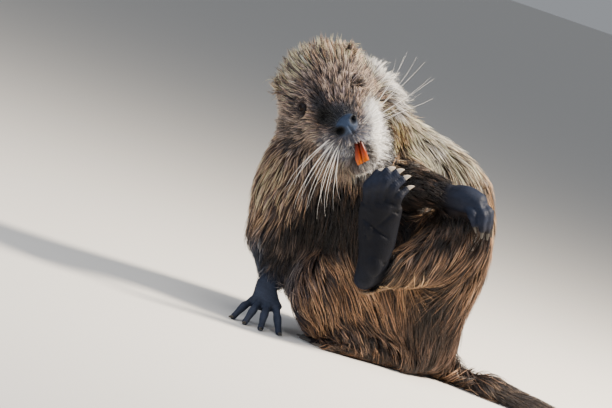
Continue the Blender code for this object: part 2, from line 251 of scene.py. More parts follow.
def smooth_rows(rows, steps):
    """Catmull-Rom rows through the given rows."""
    rows = np.asarray(rows, float)
    rows = np.vstack([2 * rows[0] - rows[1], rows, 2 * rows[-1] - rows[-2]])
    result = []
    for index in range(1, len(rows) - 2):
        before, start, end, after = rows[index - 1 : index + 3]
        for t in np.arange(steps) / steps:
            bend = 2 * before - 5 * start + 4 * end - after
            turn = 3 * start - before - 3 * end + after
            result.append(0.5 * (2 * start + (end - before) * t + bend * t**2 + turn * t**3))
    result.append(rows[-2])
    return np.array(result)


CAP_ANGLES = [math.radians(angle) for angle in (72, 48, 24)]


def tube(stations, matrix, side=(1, 0, 0), sides=16, steps=4, blunt=0.9):
    """The places and faces of a round-ended tube.

    Each station is (x, y, z, half width, half depth), and side is the way that its width runs.
    """
    rows = smooth_rows(stations, steps)
    side = np.asarray(side, float)
    centres = rows[:, :3]
    tangents = unit(np.gradient(centres, axis=0))
    across = unit(side - tangents * (tangents @ side)[:, None])
    deep = np.cross(tangents, across)
    turns = np.arange(sides) / sides * 2 * math.pi
    rings = []

    def ring(index, shift, shrink):
        wide = np.cos(turns)[:, None] * across[index] * rows[index, 3] * shrink
        high = np.sin(turns)[:, None] * deep[index] * rows[index, 4] * shrink
        rings.append(centres[index] + tangents[index] * shift + wide + high)

    last = len(rows) - 1
    start_reach = min(rows[0, 3:]) * blunt
    end_reach = min(rows[last, 3:]) * blunt
    for angle in CAP_ANGLES:
        ring(0, -start_reach * math.sin(angle), math.cos(angle))
    for index in range(last + 1):
        ring(index, 0, 1)
    for angle in reversed(CAP_ANGLES):
        ring(last, end_reach * math.sin(angle), math.cos(angle))
    poles = [centres[0] - tangents[0] * start_reach, centres[last] + tangents[last] * end_reach]
    places = np.vstack(rings + [np.array(poles)])
    faces = []
    count = len(rings)
    for row in range(count - 1):
        for number in range(sides):
            after = (number + 1) % sides
            near = row * sides
            far = near + sides
            faces.append((near + number, near + after, far + after, far + number))
    top = (count - 1) * sides
    for number in range(sides):
        after = (number + 1) % sides
        faces.append((count * sides, after, number))
        faces.append((count * sides + 1, top + number, top + after))
    return placed(places, matrix), faces


def ball(centre, radii, matrix, sides=20, rings=12):
    """The places and faces of an oval ball."""
    places = [(0, 0, 1)]
    for row in range(1, rings):
        tilt = math.pi * row / rings
        for number in range(sides):
            turn = 2 * math.pi * number / sides
            out = math.sin(tilt)
            places.append((out * math.cos(turn), out * math.sin(turn), math.cos(tilt)))
    places.append((0, 0, -1))
    faces = []
    last = len(places) - 1
    for number in range(sides):
        after = (number + 1) % sides
        faces.append((0, 1 + number, 1 + after))
        faces.append((last, last - sides + after, last - sides + number))
        for row in range(rings - 2):
            near = 1 + row * sides
            far = near + sides
            faces.append((near + number, far + number, far + after, near + after))
    places = np.array(places) * np.asarray(radii) + np.asarray(centre)
    return placed(places, matrix), faces


class Heap:
    """Gathers closed forms into one mesh."""

    def __init__(self):
        self.places = []
        self.faces = []
        self.count = 0

    def add(self, form):
        places, faces = form
        self.places.append(places)
        self.faces += [[number + self.count for number in face] for face in faces]
        self.count += len(places)

    def add_node(self, name, grow, shift=(0, 0, 0)):
        """Add a frame solid's closed surface, moved outwards a little to close the thin gaps."""
        mesh = bmesh.new()
        mesh.from_mesh(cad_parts[name].data)
        bmesh.ops.remove_doubles(mesh, verts=mesh.verts, dist=1e-6)
        bmesh.ops.recalc_face_normals(mesh, faces=mesh.faces)
        mesh.verts.index_update()
        places = np.array([vertex.co / MM + vertex.normal * grow for vertex in mesh.verts]) + shift
        faces = [[vertex.index for vertex in face.verts] for face in mesh.faces]
        mesh.free()
        self.add((places, faces))

    def object(self, name):
        return new_object(name, np.vstack(self.places), self.faces)


# ---------------------------------------------------------------- shader maths


class Value:
    """A node's output that takes part in written maths. Every operator adds the nodes it needs."""

    def __init__(self, nodes, socket, kind="number"):
        self.nodes = nodes
        self.socket = socket
        self.kind = kind

    def _with(self, operation, other, swap=False):
        other_kind = getattr(other, "kind", "number" if np.isscalar(other) else "vector")
        first, second = (other, self) if swap else (self, other)
        sockets = {0: first, 1: second}
        if self.kind == "number" and other_kind == "number":
            return self.nodes.node("ShaderNodeMath", {"operation": operation}, sockets)
        return self.nodes.node("ShaderNodeVectorMath", {"operation": operation}, sockets, kind="vector")

    def __add__(self, other):
        return self._with("ADD", other)

    def __radd__(self, other):
        return self._with("ADD", other, swap=True)

    def __sub__(self, other):
        return self._with("SUBTRACT", other)

    def __rsub__(self, other):
        return self._with("SUBTRACT", other, swap=True)

    def __mul__(self, other):
        return self._with("MULTIPLY", other)

    def __rmul__(self, other):
        return self._with("MULTIPLY", other, swap=True)

    def __pow__(self, other):
        return self._with("POWER", other)


class Nodes:
    """Builds one node tree. node() is the only way that a node is added."""

    def __init__(self, tree):
        self.tree = tree

    def node(self, node_type, settings=None, sockets=None, output=0, kind="number"):
        """Add a node. Its settings come first, then the values or links of its sockets."""
        node = self.tree.nodes.new(node_type)
        for word, setting in (settings or {}).items():
            if word == "stops":
                while len(node.color_ramp.elements) < len(setting):
                    node.color_ramp.elements.new(0.5)
                for element, (place, color) in zip(node.color_ramp.elements, setting):
                    element.position = place
                    element.color = (*color, 1)
            else:
                setattr(node, word, setting)
        for socket, value in (sockets or {}).items():
            self.feed(node.inputs[socket], value)
        return Value(self, node.outputs[output], kind) if len(node.outputs) else None

    def feed(self, socket, value):
        if isinstance(value, Value):
            self.tree.links.new(value.socket, socket)
        elif socket.type == "RGBA":
            socket.default_value = (*value[:3], 1)
        else:
            socket.default_value = value


class Shader(Nodes):
    """Builds one Principled material."""

    def __init__(self, name, **fixed):
        self.material = bpy.data.materials.new(name)
        self.material.use_nodes = True
        super().__init__(self.material.node_tree)
        self.surface = self.tree.nodes["Principled BSDF"]
        for socket, value in fixed.items():
            self.surface.inputs[socket.replace("_", " ")].default_value = value

    def place(self):
        return self.node("ShaderNodeTexCoord", output="Object", kind="vector")

    def attribute(self, name, color=False):
        output, kind = ("Color", "color") if color else ("Fac", "number")
        return self.node("ShaderNodeAttribute", {"attribute_name": name}, output=output, kind=kind)

    def noise(self, scale, detail=3.0, place=None):
        """Noise of about this many waves in a metre."""
        sockets = {"Vector": place or self.place(), "Scale": scale, "Detail": detail, "Roughness": 0.55}
        return self.node("ShaderNodeTexNoise", sockets=sockets, output="Fac")

    def cells(self, scale):
        """The distance from the middle of each of about this many cells in a metre."""
        sockets = {"Vector": self.place(), "Scale": scale}
        return self.node("ShaderNodeTexVoronoi", sockets=sockets, output="Distance")

    def mix(self, share, first, second, blend="MIX"):
        settings = {"data_type": "RGBA", "blend_type": blend}
        sockets = {0: share, 6: first, 7: second}
        return self.node("ShaderNodeMix", settings, sockets, output=2, kind="color")

    def ramp(self, value, stops):
        sockets = {"Fac": value}
        return self.node("ShaderNodeValToRGB", {"stops": stops}, sockets, output="Color", kind="color")

    def bump(self, height, distance, strength):
        sockets = {"Height": height, "Distance": distance, "Strength": strength}
        return self.node("ShaderNodeBump", sockets=sockets, output="Normal", kind="vector")

    def finish(self, **values):
        for socket, value in values.items():
            self.feed(self.surface.inputs[socket.replace("_", " ")], value)
        return self.material


# ---------------------------------------------------------------- what grows where


class Coat:
    """How the coat grows on one part of the body.

    depth is the thickness of the coat, length and width are a lock's, lift stands its tip up as a share
    of its length, spacing is the mean distance between roots, and lie is the way it falls in POSE. tip
    and root are its colours, and bare is 1 where no coat grows.
    """

    def __init__(self, depth, length, width, lift, spacing, lie, tip, root, bare=0.0):
        self.row = [depth, length, width, lift, spacing, *unit(np.array(lie, float)), *tip, *root, bare]


DEPTH, LENGTH, WIDTH, LIFT, SPACING = range(5)
LIE = slice(5, 8)
TIP = slice(8, 11)
ROOT_COLOR = slice(11, 14)
BARE = 14

GOLD = (0.41, 0.235, 0.142)
AMBER = (0.165, 0.098, 0.064)
STRAW = (0.97, 0.60, 0.35)
AGOUTI = (0.79, 0.53, 0.41)
UMBER = (0.017, 0.0115, 0.0115)
SOOT = (0.008, 0.007, 0.009)
SLATE = (0.06, 0.06, 0.07)
BARE_SKIN = (0.009, 0.013, 0.026)
BLUE_GREY = (0.22, 0.235, 0.29)
WHITE = (0.99, 0.99, 0.99)
TAIL_HAIR = (0.20, 0.155, 0.13)
TAIL_SKIN = (0.045, 0.037, 0.034)

PAW = Coat(0, 4, 0.5, 0.1, 9, (0, 0, -1), SLATE, BARE_SKIN, bare=1.0)
EAR = Coat(0.6, 8, 0.7, 0.5, 1.3, (0, 0.5, 1), (0.98, 0.60, 0.24), (0.22, 0.10, 0.035))
COATS = {
    "head": Coat(4.5, 12, 0.85, 0.25, 1.25, (0, 1, 0), AGOUTI, (0.040, 0.034, 0.037)),
    "lower_jaw": Coat(4.0, 10, 0.8, 0.2, 1.3, (0, 0.6, -1), AGOUTI, (0.08, 0.07, 0.065)),
    "nose": Coat(1.2, 5, 0.6, 0.15, 1.0, (0, 1, 0), AGOUTI, BARE_SKIN),
    "neck": Coat(8, 28, 1.35, 0.12, 2.05, (-0.15, 0.3, -1), STRAW, UMBER),
    "chest": Coat(9, 38, 1.5, 0.08, 2.3, (0, 0.1, -1), (0.40, 0.25, 0.15), UMBER),
    "abdomen": Coat(9, 42, 1.6, 0.08, 2.3, (0.28, 0.05, -1), GOLD, UMBER),
    "rump": Coat(9, 42, 1.6, 0.08, 2.3, (0.1, 0.05, -1), AMBER, UMBER),
    "upper_arm_right": Coat(8, 32, 1.4, 0.1, 2.15, (-0.4, 0.1, -1), (0.27, 0.195, 0.165), UMBER),
    "forearm_right": Coat(4, 18, 1.0, 0.08, 1.8, (-0.2, -0.3, -1), BLUE_GREY, (0.028, 0.033, 0.048)),
    "upper_arm_left": Coat(6, 20, 1.1, 0.08, 1.9, (0.9, -0.4, -0.4), (0.013, 0.010, 0.011), SOOT),
    "forearm_left": Coat(3, 14, 0.85, 0.06, 1.7, (1, -0.4, -0.25), (0.010, 0.010, 0.013), SOOT),
    "thigh_left": Coat(9, 42, 1.6, 0.08, 2.3, (-0.25, 0, -1), (0.27, 0.16, 0.105), UMBER),
    "shin_left": Coat(6, 32, 1.4, 0.06, 2.1, (-0.62, -0.2, -0.8), (0.40, 0.25, 0.14), UMBER),
    "thigh_right": Coat(9, 40, 1.6, 0.08, 2.3, (0.4, -0.1, -1), GOLD, UMBER),
    "shin_right": Coat(6, 22, 1.6, 0.06, 2.3, (0.5, 0, -1), (0.30, 0.16, 0.08), UMBER),
    "tail_base": Coat(1.6, 12, 0.8, 0.06, 1.9, (1, -0.35, -0.35), TAIL_HAIR, TAIL_SKIN),
    "tail_middle": Coat(1.0, 9, 0.55, 0.08, 2.0, (1, -0.55, -0.35), TAIL_HAIR, TAIL_SKIN),
    "tail_tip": Coat(0.8, 8, 0.5, 0.08, 1.9, (1, -1, -0.35), TAIL_HAIR, TAIL_SKIN),
    "ear_left": EAR,
    "ear_right": EAR,
    "hand_left": PAW,
    "hand_right": PAW,
    "foot_left": PAW,
    "foot_right": PAW,
}
FLESH = sorted(COATS)
PAWS = ("hand_left", "hand_right", "foot_left", "foot_right")
EARS = {"ear_left": (-2.0, 1.0, -5.0), "ear_right": (2.0, 1.0, -4.0)}


class Mark:
    """A marking, or a patch of painted light and shade: an oval in one of the frames where some of the coat's
    sizes and colours change.

    It is in HEAD where no other frame is given, and both puts one on each side.
    """

    COLUMNS = {
        "tip": TIP,
        "root": ROOT_COLOR,
        "length": LENGTH,
        "width": WIDTH,
        "lift": LIFT,
        "depth": DEPTH,
        "spacing": SPACING,
        "lie": LIE,
        "bare": BARE,
    }
    FADE = (0.6, 1.5)

    def __init__(self, centre, radii, matrix=HEAD, both=False, **changes):
        self.centre = centre
        self.radii = radii
        self.matrix = matrix
        self.both = both
        self.changes = [(self.COLUMNS[word], value) for word, value in changes.items()]

    def share(self, points):
        """1 near the oval's centre, and falling to 0 a little outside it."""
        best = np.zeros(len(points))
        for side in SIDES if self.both else (LEFT,):
            reach = oval_reach(points, mirrored(self.centre, side), self.radii)
            best = np.maximum(best, 1 - smooth_step(reach, *self.FADE))
        return best


FACE_MARKS = {
    "crown": Mark(
        (0, 100, 50), (46, 46, 30), tip=(0.99, 0.68, 0.48), root=(0.013, 0.008, 0.010),
        length=15, width=0.95, lift=0.7,
    ),
    # Painted rim light: the fur on the left of the skull is painted cream-white where the light from behind
    # catches it.
    "painted rim light on the left of the skull": Mark(
        (58, 88, 6), (13, 54, 40), tip=(0.99, 0.92, 0.80), root=(0.045, 0.03, 0.022),
        length=18, width=1.0, lift=0.6,
    ),
    "right cheek": Mark(
        (-45, 75, -15), (18, 40, 30), tip=(0.48, 0.36, 0.30), root=(0.018, 0.014, 0.015),
        length=18, lift=0.2,
    ),
    "brow": Mark(
        (4, 46, 30), (32, 28, 16), tip=(0.56, 0.41, 0.37), root=(0.010, 0.007, 0.008),
        length=10, width=0.75, lift=0.3,
    ),
    "left brow": Mark(
        (33, 50, 14), (12, 20, 12), tip=(0.60, 0.45, 0.38), root=(0.02, 0.014, 0.013),
        length=12, lift=0.35,
    ),
    "round the right eye": Mark((-32, 54, 22), (11, 13, 11), length=3.6, width=0.6, lift=0.06),
    "right lids": Mark(
        (-32, 57, 22), (5.2, 6, 5.2), tip=(0.06, 0.045, 0.042), root=(0.004, 0.003, 0.0035),
        length=2.4,
    ),
    "upper lip": Mark(
        (0, 24, -22), (27, 26, 18), tip=(0.52, 0.57, 0.66), root=(0.10, 0.11, 0.15),
        length=8, width=0.65, lift=0.25,
    ),
    # White muzzle fur, painted brighter on the left than on the right as painted sunlight.
    "white left of the muzzle with painted sunlight": Mark(
        (28, 36, -20), (13, 24, 19), tip=WHITE, root=(0.92, 0.92, 0.92),
        length=9, width=0.7, lift=0.3,
    ),
    "left of the jaw": Mark(
        (24, 46, -48), (14, 26, 20), tip=(0.99, 0.98, 0.96), root=(0.82, 0.81, 0.80),
        length=10, width=0.75, lift=0.3,
    ),
    "behind the muzzle": Mark(
        (42, 62, -30), (7, 13, 16), tip=(0.72, 0.58, 0.50), root=(0.02, 0.016, 0.018),
        length=13, width=0.9, lift=0.35,
    ),
    "left cheek": Mark(
        (49, 78, -46), (9, 14, 16), tip=(0.99, 0.66, 0.32), root=(0.08, 0.04, 0.02),
        length=18, width=0.9, lift=0.3,
    ),
    "chin": Mark(
        (6, 26, -64), (22, 24, 15), tip=(0.97, 0.96, 0.95), root=(0.45, 0.45, 0.46),
        length=11, width=0.75, lift=0.25,
    ),
    "bridge of the nose": Mark(
        (-2, 16, 9), (20, 18, 12), tip=(0.045, 0.050, 0.070), root=(0.014, 0.016, 0.024),
        length=4, width=0.6, depth=1.6,
    ),
    "over the hollow": Mark(
        (-12, 40, 20), (9, 9, 9), tip=(0.07, 0.07, 0.09), root=(0.012, 0.012, 0.016),
        length=6, width=0.6,
    ),
    # Dark fur in the hollow beside the nose, painted near black as the shadow that the nose casts into it.
    "hollow": Mark(
        (-12, 30, 7), (12, 15, 10.5), tip=(0.002, 0.001, 0.0015), root=(0.0012, 0.0008, 0.001),
        length=5, width=0.7,
    ),
    "nose pad": Mark(
        (0, 2, 0), (17, 10, 11), NOSE, tip=(0.036, 0.052, 0.085), root=(0.026, 0.040, 0.072),
        length=3, depth=0.5,
    ),
    "nostrils": Mark(
        (10.2, 2, 0), (5.6, 9, 4.6), NOSE,
        both=True, tip=(0.002, 0.002, 0.003), root=(0.001, 0.001, 0.0015),
    ),
    "wide right nostril": Mark(
        (-11, 2, -0.5), (7.0, 9, 4.8), NOSE, tip=(0.002, 0.002, 0.003), root=(0.0012, 0.0014, 0.002),
    ),
    "mouth": Mark((5, 15, -38), (13, 15, 13), tip=(0.02, 0.008, 0.010), root=(0.013, 0.005, 0.007)),
}
BODY_MARKS = {
    # Painted shadow: the coat between the right arm and the chest is darkened where the arm shades it.
    "painted armpit shadow on the right of the chest": Mark(
        (-116, -62, 194), (60, 54, 36), POSE, tip=(0.017, 0.011, 0.009), root=(0.003, 0.002, 0.002),
    ),
    "middle of the chest": Mark(
        (-40, -80, 190), (60, 50, 38), POSE, tip=(0.042, 0.026, 0.020), root=(0.004, 0.003, 0.003),
    ),
    # Painted rim light: pale fur on the left shoulder, where the light from behind catches it.
    "painted rim light on the left shoulder": Mark(
        (58, -30, 222), (34, 34, 26), POSE, tip=(0.99, 0.83, 0.62), root=(0.03, 0.02, 0.016),
        length=24, lift=0.25,
    ),
    # Painted rim light on the nape.
    "painted rim light on the nape": Mark((0, 10, 268), (50, 60, 34), POSE, tip=(0.96, 0.84, 0.66), root=(0.045, 0.03, 0.022)),
    # Painted shade: the coat just over the left arm is darkened as the shade behind the arm.
    "painted shade over the left arm": Mark(
        (2, -50, 238), (34, 34, 16), POSE, tip=(0.09, 0.06, 0.045), root=(0.010, 0.007, 0.006),
    ),
    "right of the neck": Mark(
        (-162, -20, 240), (34, 56, 40), POSE, tip=(0.90, 0.60, 0.42), root=(0.070, 0.046, 0.038),
    ),
    "inside the right arm": Mark(
        (-160, -44, 150), (22, 30, 30), POSE, tip=(0.06, 0.045, 0.04), root=(0.008, 0.007, 0.009),
    ),
    "haunch": Mark(
        (0, -45, 66), (76, 70, 50), POSE, tip=(0.092, 0.057, 0.045), root=(0.0065, 0.005, 0.005),
    ),
    "right knee": Mark(
        (-80, -60, 60), (60, 60, 34), POSE, tip=(0.23, 0.145, 0.105), root=(0.010, 0.007, 0.007),
    ),
    "left thigh": Mark(
        (30, -80, 150), (60, 40, 26), POSE, tip=(0.23, 0.14, 0.095), root=(0.009, 0.006, 0.0055),
    ),
    "raised sole": Mark(
        (-56, -112, 166), (34, 24, 64), POSE, tip=(0.004, 0.004, 0.006), root=(0.0020, 0.0028, 0.0062),
    ),
    "right hand": Mark((-200, -60, 20), (34, 44, 40), FLOOR, root=(0.026, 0.032, 0.050)),
    "throat": Mark((-104, -60, 234), (60, 50, 26), POSE, length=22),
    "under the left wrist": Mark(
        (29, -80, 176), (18, 14, 12), POSE, tip=(0.10, 0.06, 0.045), root=(0.005, 0.004, 0.004),
        length=17, width=1.2, spacing=1.55, bare=0,
    ),
    "right hind foot": Mark(
        (-76, -44, 8), (64, 36, 16), FLOOR, tip=(0.17, 0.095, 0.058), root=(0.010, 0.006, 0.005),
        length=23, width=1.35, lift=0.08, depth=1.4, spacing=1.8, lie=(-0.25, -0.9, -0.4), bare=0,
    ),
}


def mark_rows(rows, places, marks):
    """The coat's rows with markings and patches of painted light and shade put over them, in order."""
    for mark in marks.values():
        share = mark.share(placed(places, mark.matrix.inverted()))[:, None]
        for column, value in mark.changes:
            columns = column if isinstance(column, slice) else slice(column, column + 1)
            rows[:, columns] += (np.array(value) - rows[:, columns]) * share
    return rows


# The bare ovals of the nose pad in NOSE and of the mouth in HEAD: centre, radii and the reaches of the edge.
BARE_PAD = ((0, 1, 0), (16, 10, 10.5), (0.85, 1.05))
BARE_MOUTH = ((5, 14, -38), (12.5, 14, 12.5), (0.8, 1.05))


def painted_rows(rows, places):
    """The coat's rows with the markings and painted light and shade put over them, and bare round the nose,
    mouth and eyes.
    """
    rows = mark_rows(mark_rows(rows, places, BODY_MARKS), places, FACE_MARKS)
    for (centre, radii, edges), matrix in ((BARE_PAD, NOSE), (BARE_MOUTH, HEAD)):
        reach = oval_reach(placed(places, matrix.inverted()), centre, radii)
        rows[:, BARE] = np.maximum(rows[:, BARE], 1 - smooth_step(reach, *edges))
    points = placed(places, HEAD.inverted())
    for side in SIDES:
        eye = np.linalg.norm(points - mirrored(EYE_PLACE, side), axis=1)
        edge = EYE_RADIUS + BARE_PAST_EYE[side]
        rows[:, BARE] = np.maximum(rows[:, BARE], 1 - smooth_step(eye, edge, edge + BARE_FADE))
    return rows


# ---------------------------------------------------------------- the paws' forms

# Palms, soles and limbs are stations of (x, y, z, half width, half depth). Those whose names start with
# RIGHT are in FLOOR, apart from the forearm, and the others are in POSE.
RIGHT_PALM = [(-205, -38, 46, 11, 9), (-200, -46, 34, 15, 9), (-197, -54, 24, 19, 8)]
LEFT_PALM = [(18, -73, 206, 14, 12), (36, -80, 203, 16, 14), (48, -84, 199, 14, 14)]
RIGHT_SOLE = [(-30, -30, 11, 11, 12), (-62, -36, 10, 14, 12), (-98, -44, 8, 22, 9)]
LEFT_SOLE = [
    (-70, -106, 120, 13, 13),
    (-60, -111, 146, 18, 12),
    (-56, -115, 180, 22, 10),
    (-53, -119, 200, 23, 9),
]
RIGHT_FOREARM = [
    (-163, -10, 150, 33, 32),
    (-169, -22, 126, 23, 23),
    (-173, -34, 112, 14, 14),
    (-177, -43, 98, 11, 10),
]
LEFT_FOREARM = [(-28, -44, 215, 24, 24), (0, -62, 213, 20, 20), (22, -74, 206, 14, 13)]
LEFT_SHIN = [(-2, -78, 140, 30, 26), (-42, -95, 126, 19, 17), (-62, -102, 120, 13, 13)]

# The pads under the raised sole and the knuckles that fill the left hand, as a centre and radii in POSE.
SOLE_PADS = [
    ((-62, -123, 196), (8, 4, 8)),
    ((-49, -124, 199), (9, 4, 9)),
    ((-41, -121, 192), (7, 4, 9)),
    ((-66, -122, 176), (6, 4, 12)),
    ((-61, -119, 138), (10, 5, 14)),
]
LEFT_KNUCKLES = [((57, -86, 191), (6, 7, 8)), ((50, -87, 197), (8, 9, 8)), ((51, -92, 190), (5, 6, 8))]

# Each finger or toe is the places of its base, its joint and its tip, with its half width.
RIGHT_FINGERS = [
    ((-212, -54, 24), (-219, -64, 16), (-226, -76, 2.8), 4.6),
    ((-204, -58, 24), (-208, -72, 16), (-212, -88, 2.8), 4.8),
    ((-195, -58, 24), (-195, -74, 16), (-194, -92, 2.8), 4.8),
    ((-185, -55, 24), (-180, -67, 15), (-174, -80, 2.8), 4.6),
]
LEFT_FINGERS = [
    ((40, -90, 196), (44, -97, 188), (46, -98, 178), 6.0),
    ((50, -93, 198), (55, -98, 188), (54, -99, 172), 5.2),
    ((54, -87, 200), (61, -91, 190), (60, -92, 170), 5.2),
    ((55, -79, 200), (63, -82, 190), (64, -83, 172), 5.0),
]
RIGHT_TOES = [
    ((-100, -26, 7), (-112, -22, 5.5), (-124, -19, 3.2), 4.6),
    ((-104, -35, 7), (-120, -33, 5.5), (-136, -31, 3.2), 4.8),
    ((-105, -44, 7), (-124, -44, 5.5), (-142, -44, 3.2), 5.0),
    ((-103, -53, 7), (-121, -56, 5.5), (-138, -58, 3.2), 5.0),
    ((-98, -61, 7), (-112, -66, 5.5), (-125, -71, 3.2), 4.6),
]
LEFT_TOES = [
    ((-68, -119, 200), (-67, -125, 221), (-57, -126, 235), 6.3),
    ((-61, -121, 203), (-58, -127, 225), (-47, -127, 237), 6.3),
    ((-53, -121, 205), (-49, -127, 226), (-38, -125, 235), 6.2),
    ((-45, -120, 203), (-40, -125, 221), (-31, -122, 228), 5.9),
    ((-38, -119, 198), (-34, -123, 211), (-27, -119, 217), 5.3),
]


DIGIT_FLATNESS = 0.94
WEB_REACH = 0.35
WEB_THICK = (2.2, 1.5)


def digit_places(digit):
    return [np.array(place, float) for place in digit[:3]]


def digit_form(digit, matrix):
    """A finger or toe with a full joint, a slimmer bone on each side of it and a soft end."""
    base, joint, tip = digit_places(digit)
    stations = []
    for place, share in (
        (base, 1.12),
        ((base + joint) / 2, 0.9),
        (joint, 1.06),
        (joint * 0.45 + tip * 0.55, 0.84),
        (tip, 0.82),
    ):
        half = digit[3] * share
        stations.append((*place, half, half * DIGIT_FLATNESS))
    return tube(stations, matrix, side=(0.2, 0.5, 1), sides=14, steps=3)


def web_form(first, second, matrix):
    """The fold of skin between two toes, which ends a little past their joints."""
    stations = []
    for share in (0.0, 0.5, 1.0):
        ends = []
        for base, joint, tip in (digit_places(first), digit_places(second)):
            past = max(0, share - 0.5) * 2 * WEB_REACH
            ends.append(base + (joint - base) * share + (tip - joint) * past)
        middle = (ends[0] + ends[1]) / 2
        half = np.linalg.norm(ends[1] - ends[0]) / 2
        stations.append((*middle, half, WEB_THICK[0] + (WEB_THICK[1] - WEB_THICK[0]) * share))
    across = digit_places(second)[1] - digit_places(first)[1]
    return tube(stations, matrix, side=across, sides=12, steps=3, blunt=0.5)


# Each paw's digits, their frame, and whether webs join all but the outermost.
DIGITS = {
    "hand_right": (RIGHT_FINGERS, FLOOR, False),
    "hand_left": (LEFT_FINGERS, POSE, False),
    "foot_right": (RIGHT_TOES, FLOOR, True),
    "foot_left": (LEFT_TOES, POSE, True),
}


def paw_forms():
    """The closed forms of each bare hand and foot."""
    forms = {
        "hand_right": [tube(RIGHT_PALM, FLOOR, side=(1, 0, 0), sides=24)],
        "hand_left": [tube(LEFT_PALM, POSE, side=(0, 0, 1), sides=24)],
        "foot_right": [tube(RIGHT_SOLE, FLOOR, side=(0, 1, 0), sides=24)],
        "foot_left": [tube(LEFT_SOLE, POSE, side=(1, 0, 0), sides=28)],
    }
    for name, (digits, matrix, webbed) in DIGITS.items():
        forms[name] += [digit_form(digit, matrix) for digit in digits]
        if webbed:
            pairs = zip(digits[:-2], digits[1:-1])
            forms[name] += [web_form(first, second, matrix) for first, second in pairs]
    forms["foot_left"] += [ball(*pad, POSE) for pad in SOLE_PADS]
    forms["hand_left"] += [ball(*knuckle, POSE) for knuckle in LEFT_KNUCKLES]
    return forms


def add_paws(heap):
    """The bare hands and feet, run on into the arms and shins so that no gap is left."""
    heap.add(tube(RIGHT_FOREARM, POSE, side=(1, 0, 0)))
    heap.add(tube(LEFT_FOREARM, POSE, side=(0, 0, 1)))
    heap.add(tube(LEFT_SHIN, POSE, side=(0, 0, 1)))
    for forms in paw_forms().values():
        for form in forms:
            heap.add(form)


# ---------------------------------------------------------------- surfaces


class Surface:
    """A mesh's triangles and smooth normals, and the nearest place on it to any point."""

    def __init__(self, mesh):
        self.places = mesh_places(mesh)
        self.normals = mesh_normals(mesh)
        self.triangles = mesh_triangles(mesh)
        self.tree = BVHTree.FromPolygons(self.places.tolist(), self.triangles.tolist())

    def areas(self):
        first, second, third = (self.places[self.triangles[:, corner]] for corner in range(3))
        return np.linalg.norm(np.cross(second - first, third - first), axis=1) / 2

    def nearest(self, points):
        """The nearest places, their triangles and their weights in those triangles."""
        found = [self.tree.find_nearest(point) for point in points.tolist()]
        places = np.array([hit[0] for hit in found])
        numbers = np.array([hit[2] for hit in found])
        return places, numbers, self.weights(places, numbers)

    def weights(self, places, numbers):
        first, second, third = (self.places[self.triangles[numbers, corner]] for corner in range(3))
        one, two, to = second - first, third - first, places - first
        a, b, c = (one * one).sum(1), (one * two).sum(1), (two * two).sum(1)
        d, e = (to * one).sum(1), (to * two).sum(1)
        area = np.maximum(a * c - b * b, 1e-12)
        v = np.clip((c * d - b * e) / area, 0, 1)
        w = np.clip((a * e - b * d) / area, 0, 1 - v)
        return np.column_stack([1 - v - w, v, w])

    def read(self, values, numbers, weights):
        return (values[self.triangles[numbers]] * weights[:, :, None]).sum(1)

    def normals_at(self, numbers, weights):
        return unit(self.read(self.normals, numbers, weights))


def flesh_labels(places):
    """For each place, the number in FLESH of the nearest form: a paw's own, or a solid."""
    corners, faces, labels = [], [], []
    count = 0
    forms = paw_forms()
    for number, name in enumerate(FLESH):
        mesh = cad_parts[name].data
        for found, parts in forms.get(name) or [(mesh_places(mesh), mesh_triangles(mesh).tolist())]:
            corners.append(found)
            faces += [[corner + count for corner in face] for face in parts]
            labels += [number] * len(parts)
            count += len(found)
    tree = BVHTree.FromPolygons(np.vstack(corners).tolist(), faces)
    return np.array([labels[tree.find_nearest(place)[2]] for place in places.tolist()])


def remesh(obj, voxel):
    change = obj.modifiers.new("even", "REMESH")
    change.mode = "VOXEL"
    change.voxel_size = voxel * MM
    bake_modifiers(obj)


